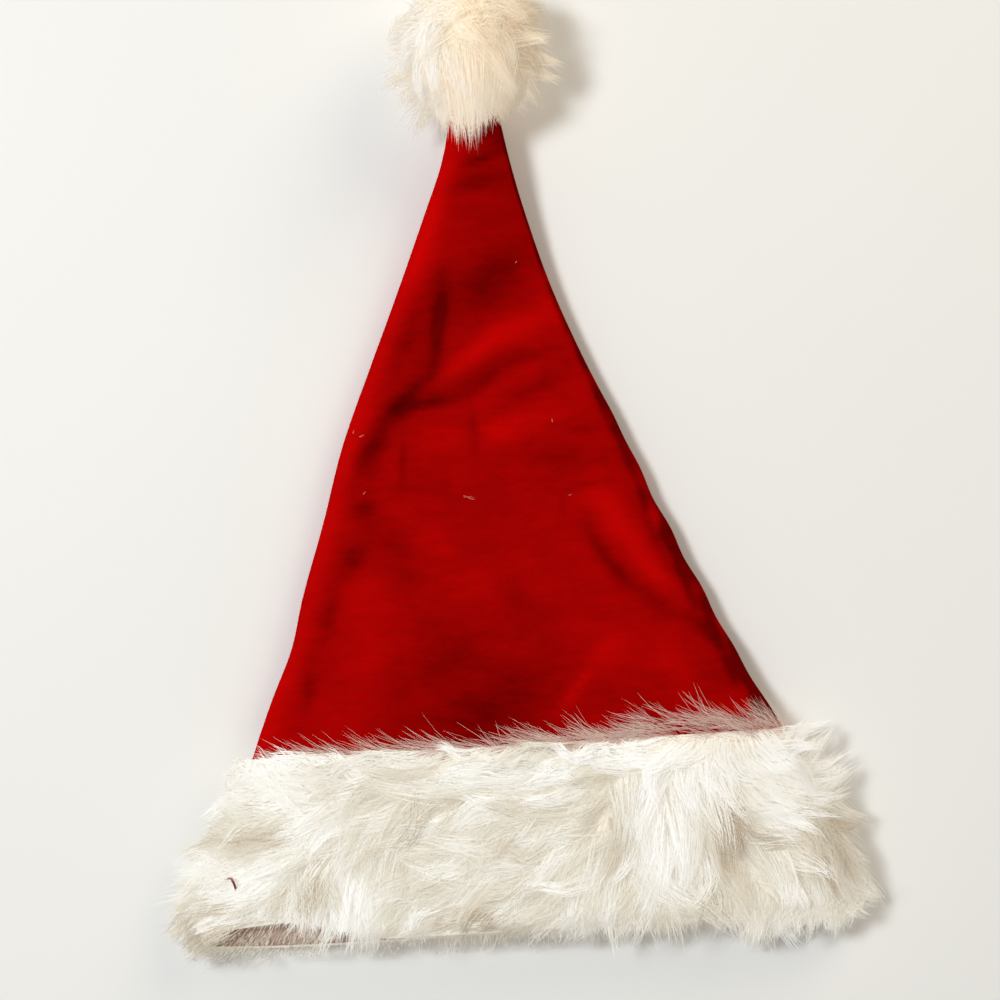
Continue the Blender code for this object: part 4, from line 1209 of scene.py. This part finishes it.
def tuft_hair(seed, size):
    """The pompom's named tufts."""
    chance = np.random.default_rng(seed)
    every, lies, tints = [], [], []
    for tuft in POMPOM_TUFTS:
        root, tip = np.array(tuft.root), np.array(tuft.tip)
        share = RING_SHARES[None] * chance.uniform(0.70, 1.05, tuft.hairs)[:, None]
        offset = chance.normal(0.0, 0.5 * tuft.width, (tuft.hairs, 3))
        close = 1.0 - tuft.gather * smooth_step(share)
        paths = root + (tip - root) * share[..., None] + offset[:, None] * close[..., None]
        paths[..., 2] += 4.0 * tuft.arch * share * (1.0 - share)
        fray = chance.normal(0.0, 0.0016, (tuft.hairs, 1, 3)) * share[..., None] ** 2
        paths = paths + fray
        paths[..., 2] = np.maximum(paths[..., 2], POMPOM_CLEARANCE)
        lie = paths - POMPOM_CENTRE
        lie[..., 2] += 0.012
        every.append(paths)
        lies.append(lie / np.linalg.norm(lie, axis=-1, keepdims=True))
        # Painted shade: tufts further right are darker, away from the light.
        tint = 0.62 - 3.5 * (tuft.tip[0] + 0.006)
        tints.append(np.full(tuft.hairs, tint) + chance.normal(0.0, 0.1, tuft.hairs))
    paths, tint = np.concatenate(every), np.clip(np.concatenate(tints), *TINT_RANGE)
    radius = size * chance.uniform(0.7, 1.1, len(paths))
    return strand_mesh("pompom_tufts", paths, radius, tint, np.concatenate(lies))


class CrownSettings(bpy.types.PropertyGroup):
    """Sizes and colours of the velvet crown."""

    # The velvet's colour where no painted light or shade falls on it.
    colour: FloatVectorProperty(
        name="Velvet",
        description="Colour of the velvet where its nap lies flat",
        subtype="COLOR",
        size=3,
        min=0.0,
        max=1.0,
        default=(0.33, 0.0008, 0.0006),
    )
    reverse: FloatVectorProperty(
        name="Reverse",
        description="Colour of the velvet's knitted reverse",
        subtype="COLOR",
        size=3,
        min=0.0,
        max=1.0,
        default=(0.62, 0.44, 0.36),
    )
    cloth: FloatProperty(
        name="Cloth",
        description="Thickness of the velvet",
        subtype="DISTANCE",
        unit="LENGTH",
        min=0.001,
        max=0.003,
        default=0.0016,
    )


class FurSettings(bpy.types.PropertyGroup):
    """Sizes and colours of the fur."""

    cuff: FloatVectorProperty(
        name="Cuff",
        description="Colour of the matted fur under the cuff's long hair",
        subtype="COLOR",
        size=3,
        min=0.0,
        max=1.0,
        default=RECORD["cream_fur"],
    )
    pompom: FloatVectorProperty(
        name="Pompom",
        description="Colour of the matted fur under the pompom's long hair",
        subtype="COLOR",
        size=3,
        min=0.0,
        max=1.0,
        default=RECORD["cream_pompom_fur"],
    )
    hair: FloatProperty(
        name="Hair",
        description="Half the thickness of one hair of the cuff",
        subtype="DISTANCE",
        unit="LENGTH",
        min=0.0001,
        max=0.0005,
        default=0.00021,
    )
    fullness: FloatProperty(
        name="Fullness",
        description="How many tufts grow, as a share of the full count",
        subtype="FACTOR",
        min=0.1,
        max=1.0,
        default=1.0,
    )
    seed: IntProperty(
        name="Seed",
        description="Chooses where the tufts grow",
        min=0,
        default=7,
    )


class StageSettings(bpy.types.PropertyGroup):
    """The floor and the camera."""

    floor: FloatVectorProperty(
        name="Floor",
        description="Colour of the floor",
        subtype="COLOR",
        size=3,
        min=0.0,
        max=1.0,
        default=(0.86, 0.855, 0.845),
    )
    camera_height: FloatProperty(
        name="Camera height",
        description="Height of the camera above the floor",
        subtype="DISTANCE",
        unit="LENGTH",
        min=0.5,
        max=5.0,
        default=1.5,
    )
    view_width: FloatProperty(
        name="View width",
        description="Width of what the camera sees at the hat",
        subtype="DISTANCE",
        unit="LENGTH",
        min=0.1,
        max=2.0,
        default=0.480,
    )
    camera_turn: FloatProperty(
        name="Camera turn",
        description="Turn of the camera about the vertical",
        subtype="ANGLE",
        unit="ROTATION",
        default=math.radians(-3.5),
    )


class HAT_OT_crown(bpy.types.Operator):
    """Build the velvet cone: one laid cloth wall, open at the mouth and closed at the tip"""

    bl_idname = "hat.crown"
    bl_label = "Crown"

    def execute(self, context):
        settings = context.scene.hat_crown
        mouth = CROWN_SECTIONS[0].y
        y = np.concatenate([np.linspace(mouth, 0.0, 13)[:-1], np.linspace(0.0, CROWN_TIP, 126)])
        angle = np.concatenate([np.linspace(0.0, math.pi, 109)[:-1], np.linspace(math.pi, 2.0 * math.pi, 25)])
        item = wrapped_grid("crown_velvet", y, angle, section_points)
        open_edges(item, lambda middle: middle.y > 0.0)
        bpy.ops.mesh.edge_face_add()
        bpy.ops.mesh.poke()
        bpy.ops.object.mode_set(mode="OBJECT")
        face_outwards()
        dress(item, (velvet_finish(settings.colour), reverse_finish(settings.reverse)), "crown")
        wall = item.modifiers.new("Wall", "SOLIDIFY")
        wall.thickness = settings.cloth
        wall.offset = -1.0
        wall.use_even_offset = True
        wall.use_rim = True
        wall.material_offset = 1
        wall.material_offset_rim = 1
        apply_modifiers(item)
        points = np.array([vertex.co for vertex in item.data.vertices]) - HAT_ORIGIN
        painted_light_and_shade = item.data.attributes.new("painted_light_and_shade", "FLOAT", "POINT")
        painted_light_and_shade.data.foreach_set("value", self.painted_light_and_shade(points).astype(np.float32))
        item.data.shade_smooth()
        return {"FINISHED"}

    def painted_light_and_shade(self, points):
        """Painted light and shade at each point: 0 is even, below is painted shade and above is painted
        light.
        """
        total = np.zeros(len(points))
        for patch in PAINTED_LIGHT_AND_SHADE_PATCHES:
            turn = math.radians(patch.turn)
            x, y = points[:, 0] - patch.x, points[:, 1] - patch.y
            along = (x * math.cos(turn) + y * math.sin(turn)) / patch.along
            across = (-x * math.sin(turn) + y * math.cos(turn)) / patch.across
            total += patch.strength * np.exp(-(along ** 2 + across ** 2))
        place_y = np.clip(points[:, 1], 0.0, CROWN_TIP)
        from_left = points[:, 0] - crown_column(place_y, "left")
        from_right = crown_column(place_y, "right") - points[:, 0]
        # Painted highlight along the crown's left edge, which faces the light.
        total += 0.75 * np.exp(-((from_left / 0.008) ** 2))
        # Painted shade along the right edge, which faces away from the light, streaked like its gathered
        # seam.
        width = np.interp(place_y, *zip(*RIGHT_PAINTED_SHADE))
        streaks = ripple(points * (1.0, 0.45, 0.0), 0.0075, 12)
        total += (0.75 * streaks - 0.95) * np.exp(-((from_right / width) ** 4))
        return np.clip(total, -1.0, 1.0)


class HAT_OT_cuff(bpy.types.Operator):
    """Build the fur cuff: a matted ring on the backing, and long hair in tufts over it"""

    bl_idname = "hat.cuff"
    bl_label = "Fur cuff"

    def execute(self, context):
        settings = context.scene.hat_fur
        self.undercoat(settings)
        # The darkest stops give the painted shade of partings, the white one the painted highlight.
        stops = (
            (0.0, (0.42, 0.34, 0.24)),
            (0.16, (0.68, 0.61, 0.50)),
            (0.42, (0.775, 0.74, 0.645)),
            (0.68, (0.905, 0.89, 0.845)),
            (1.0, (1.0, 1.0, 0.99)),
        )
        # The cuff hair's roots are darkened with painted shade.
        hair = fur_finish("cream_fur", stops, (0.90, 0.86, 0.79, 1.0), 0.51)
        parts = [cuff_hair(growth, settings.seed + i, settings.hair, settings.fullness)
                 for i, growth in enumerate(CUFF_GROWTHS)]
        parts.append(rim_hair(settings.seed + 9, settings.hair, settings.fullness))
        parts.append(under_hair(settings.seed + 10, settings.hair, settings.fullness))
        for item in parts:
            dress(item, (hair,), "fur_cuff")
        fringe = fringe_hair(settings.seed + 11, settings.hair, settings.fullness)
        # The fringe's pink roots are painted shade tinted with the velvet's reflected red, and its painted
        # glow is weaker.
        over_velvet = fur_finish("cream_fur_fringe", stops, (0.80, 0.40, 0.36, 1.0), 0.27)
        dress(fringe, (over_velvet,), "fur_cuff")
        return {"FINISHED"}

    def undercoat(self, settings):
        """The matted ring: closed, lumpy, and fitted round the crown's lower end."""
        around = np.concatenate([np.linspace(0.0, math.pi, 91)[:-1], np.linspace(math.pi, 2.0 * math.pi, 61)])
        along = np.linspace(0.0, 2.0 * math.pi, 61)
        middle, half = (CUFF_EDGE - UNDERCOAT_DEPTH) / 2, (CUFF_EDGE + UNDERCOAT_DEPTH) / 2

        def ring_points(turn, angle):
            """A rounded band round the section: turn 0 is its upper edge, 90 degrees its outer face."""
            y = middle + half * np.sign(np.cos(turn)) * abs(np.cos(turn)) ** 0.5
            outer = np.clip(np.sin(turn), 0.0, 1.0) ** 0.5
            points = section_points(y, angle, 0.0)
            lump = 1.0 + 0.35 * ripple(points, 0.018, 21)
            thick = np.where(np.sin(angle) < 0.0, 0.0035, 0.0050) * (1.0 - 0.7 * abs(np.cos(angle)) ** 3)
            return section_points(y, angle, 0.0005 + outer * thick * lump)

        item = wrapped_grid("fur_cuff_undercoat", along, around, ring_points)
        face_outwards()
        item.data.shade_smooth()
        dress(item, (undercoat_finish("cream_undercoat", settings.cuff),), "fur_cuff")


class HAT_OT_pompom(bpy.types.Operator):
    """Build the pompom: a matted core and long hair in tufts all round it"""

    bl_idname = "hat.pompom"
    bl_label = "Pompom"

    def execute(self, context):
        settings = context.scene.hat_fur
        deselect()
        bpy.ops.mesh.primitive_ico_sphere_add(subdivisions=5, radius=POMPOM_CORE)
        item = bpy.context.active_object
        item.name = "pompom_core"
        item.data.name = "pompom_core"
        points = np.array([vertex.co for vertex in item.data.vertices])
        points *= (1.0 + 0.14 * ripple(points, 0.014, 31))[:, None]
        points += POMPOM_CENTRE + HAT_ORIGIN
        item.data.vertices.foreach_set("co", points.astype(np.float32).ravel())
        item.data.update()
        item.data.shade_smooth()
        core = undercoat_finish("cream_pompom_undercoat", settings.pompom)
        dress(item, (core,), "pompom")
        stops = (
            (0.0, (0.74, 0.60, 0.42)),
            (0.35, (0.94, 0.80, 0.62)),
            (0.60, (1.0, 0.89, 0.73)),
            (1.0, (1.0, 0.97, 0.92)),
        )
        # The pompom hair's roots are darkened with painted shade.
        finish = fur_finish("cream_pompom_fur", stops, (0.93, 0.86, 0.77, 1.0), 0.48)
        for hair in (
            pompom_hair(settings.seed + 20, settings.hair, settings.fullness),
            tuft_hair(settings.seed + 21, settings.hair),
        ):
            dress(hair, (finish,), "pompom")
        return {"FINISHED"}


class HAT_OT_trimmings(bpy.types.Operator):
    """Build the small things that cling to the hat: a hooked thread in the fur, and lint on the velvet"""

    bl_idname = "hat.trimmings"
    bl_label = "Thread and lint"

    def execute(self, context):
        chance = np.random.default_rng(3)
        paths, radius = [], []
        for fleck in LINT:
            heading = math.radians(fleck.turn)
            for _ in range(FLECK_HAIRS):
                turn = heading + chance.normal(0.0, 0.10)
                share = (RING_SHARES - 0.5) * fleck.length * chance.uniform(0.6, 1.0)
                bow = 0.12 * fleck.length * np.sin(math.pi * RING_SHARES) * chance.uniform(-1.0, 1.0)
                x = fleck.x + share * math.cos(turn) - bow * math.sin(turn)
                y = fleck.y + share * math.sin(turn) + bow * math.cos(turn)
                z = support_height(x, y) + fold_height(x, y) + 0.0004
                paths.append(np.stack([x, y, z], axis=-1))
                radius.append(chance.uniform(0.00012, 0.00018))
        lint = strand_mesh("crown_lint", np.array(paths), np.array(radius), np.full(len(paths), 0.3))
        dress(lint, (plain_finish("lint", (0.78, 0.24, 0.20), 0.9, 0.25, 300.0),))
        hook = np.array(THREAD_HOOK)
        paths = []
        for shift in (-THREAD_GAP, 0.0, THREAD_GAP):
            plan = THREAD_PLACE + hook[:, :2] + shift
            z = support_height(plan[:, 0], plan[:, 1]) + THREAD_HEIGHT + hook[:, 2]
            paths.append(np.concatenate([plan, z[:, None]], axis=1))
        thread = strand_mesh("fur_thread", np.array(paths), np.full(3, 0.00030), np.array((0.3, 0.5, 0.7)))
        dress(thread, (plain_finish("rust_thread", (0.36, 0.10, 0.05), 0.85, 0.35, 500.0),))
        return {"FINISHED"}


class HAT_OT_stage(bpy.types.Operator):
    """Set a plain pale floor, soft studio light and the camera"""

    bl_idname = "hat.stage"
    bl_label = "Stage"

    def execute(self, context):
        settings = context.scene.hat_stage
        deselect()
        bpy.ops.mesh.primitive_plane_add(size=12.0, location=(0.0, 0.0, -0.0002))
        floor = bpy.context.active_object
        floor.name = "floor"
        floor.data.materials.append(plain_finish("pale_floor", settings.floor, 0.6, 0.01, 3.0))
        for lamp in LAMPS:
            self.light(lamp)
        world = bpy.data.worlds.new("studio")
        world.use_nodes = True
        background = world.node_tree.nodes["Background"]
        background.inputs["Color"].default_value = ROOM_COLOUR
        background.inputs["Strength"].default_value = ROOM_STRENGTH
        context.scene.world = world
        context.scene.view_settings.view_transform = "Standard"
        deselect()
        bpy.ops.object.camera_add(
            location=(*CAMERA_PLACE, settings.camera_height),
            rotation=(0.0, 0.0, settings.camera_turn),
        )
        camera = bpy.context.active_object
        camera.name = "camera"
        reach = settings.camera_height - FOCUS_HEIGHT
        camera.data.lens = camera.data.sensor_width * reach / settings.view_width
        camera.data.clip_end = 50.0
        context.scene.camera = camera
        return {"FINISHED"}

    def light(self, lamp):
        """Add a square soft light that points at the hat."""
        deselect()
        bpy.ops.object.light_add(type="AREA", location=lamp.place)
        item = bpy.context.active_object
        item.name = lamp.name
        item.data.size = lamp.size
        item.data.energy = lamp.power
        item.data.color = lamp.colour
        away = item.location.normalized()
        item.rotation_euler = away.to_track_quat("Z", "Y").to_euler()


class HAT_PT_panel(bpy.types.Panel):
    """Lists the hat's pieces and their settings"""

    bl_idname = "HAT_PT_panel"
    bl_label = "Santa Hat"
    bl_space_type = "VIEW_3D"
    bl_region_type = "UI"
    bl_category = "Santa Hat"

    def draw(self, context):
        scene = context.scene
        for title, settings, operators in (
            ("Crown", scene.hat_crown, ("hat.crown",)),
            ("Fur", scene.hat_fur, ("hat.cuff", "hat.pompom", "hat.trimmings")),
            ("Stage", scene.hat_stage, ("hat.stage",)),
        ):
            box = self.layout.box()
            box.label(text=title)
            for key in settings.__annotations__:
                box.prop(settings, key)
            for operator in operators:
                box.operator(operator)


CLASSES = (
    CrownSettings,
    FurSettings,
    StageSettings,
    HAT_OT_crown,
    HAT_OT_cuff,
    HAT_OT_pompom,
    HAT_OT_trimmings,
    HAT_OT_stage,
    HAT_PT_panel,
)


def register():
    """Add the classes, and the settings to the scene."""
    for entry in CLASSES:
        bpy.utils.register_class(entry)
    bpy.types.Scene.hat_crown = PointerProperty(type=CrownSettings)
    bpy.types.Scene.hat_fur = PointerProperty(type=FurSettings)
    bpy.types.Scene.hat_stage = PointerProperty(type=StageSettings)


def unregister():
    """Take the settings and the classes away again."""
    del bpy.types.Scene.hat_stage
    del bpy.types.Scene.hat_fur
    del bpy.types.Scene.hat_crown
    for entry in reversed(CLASSES):
        bpy.utils.unregister_class(entry)


def main():
    """Build the hat and its stage."""
    register()
    bpy.ops.hat.crown()
    bpy.ops.hat.cuff()
    bpy.ops.hat.pompom()
    bpy.ops.hat.trimmings()
    bpy.ops.hat.stage()


if __name__ == "__main__":
    main()
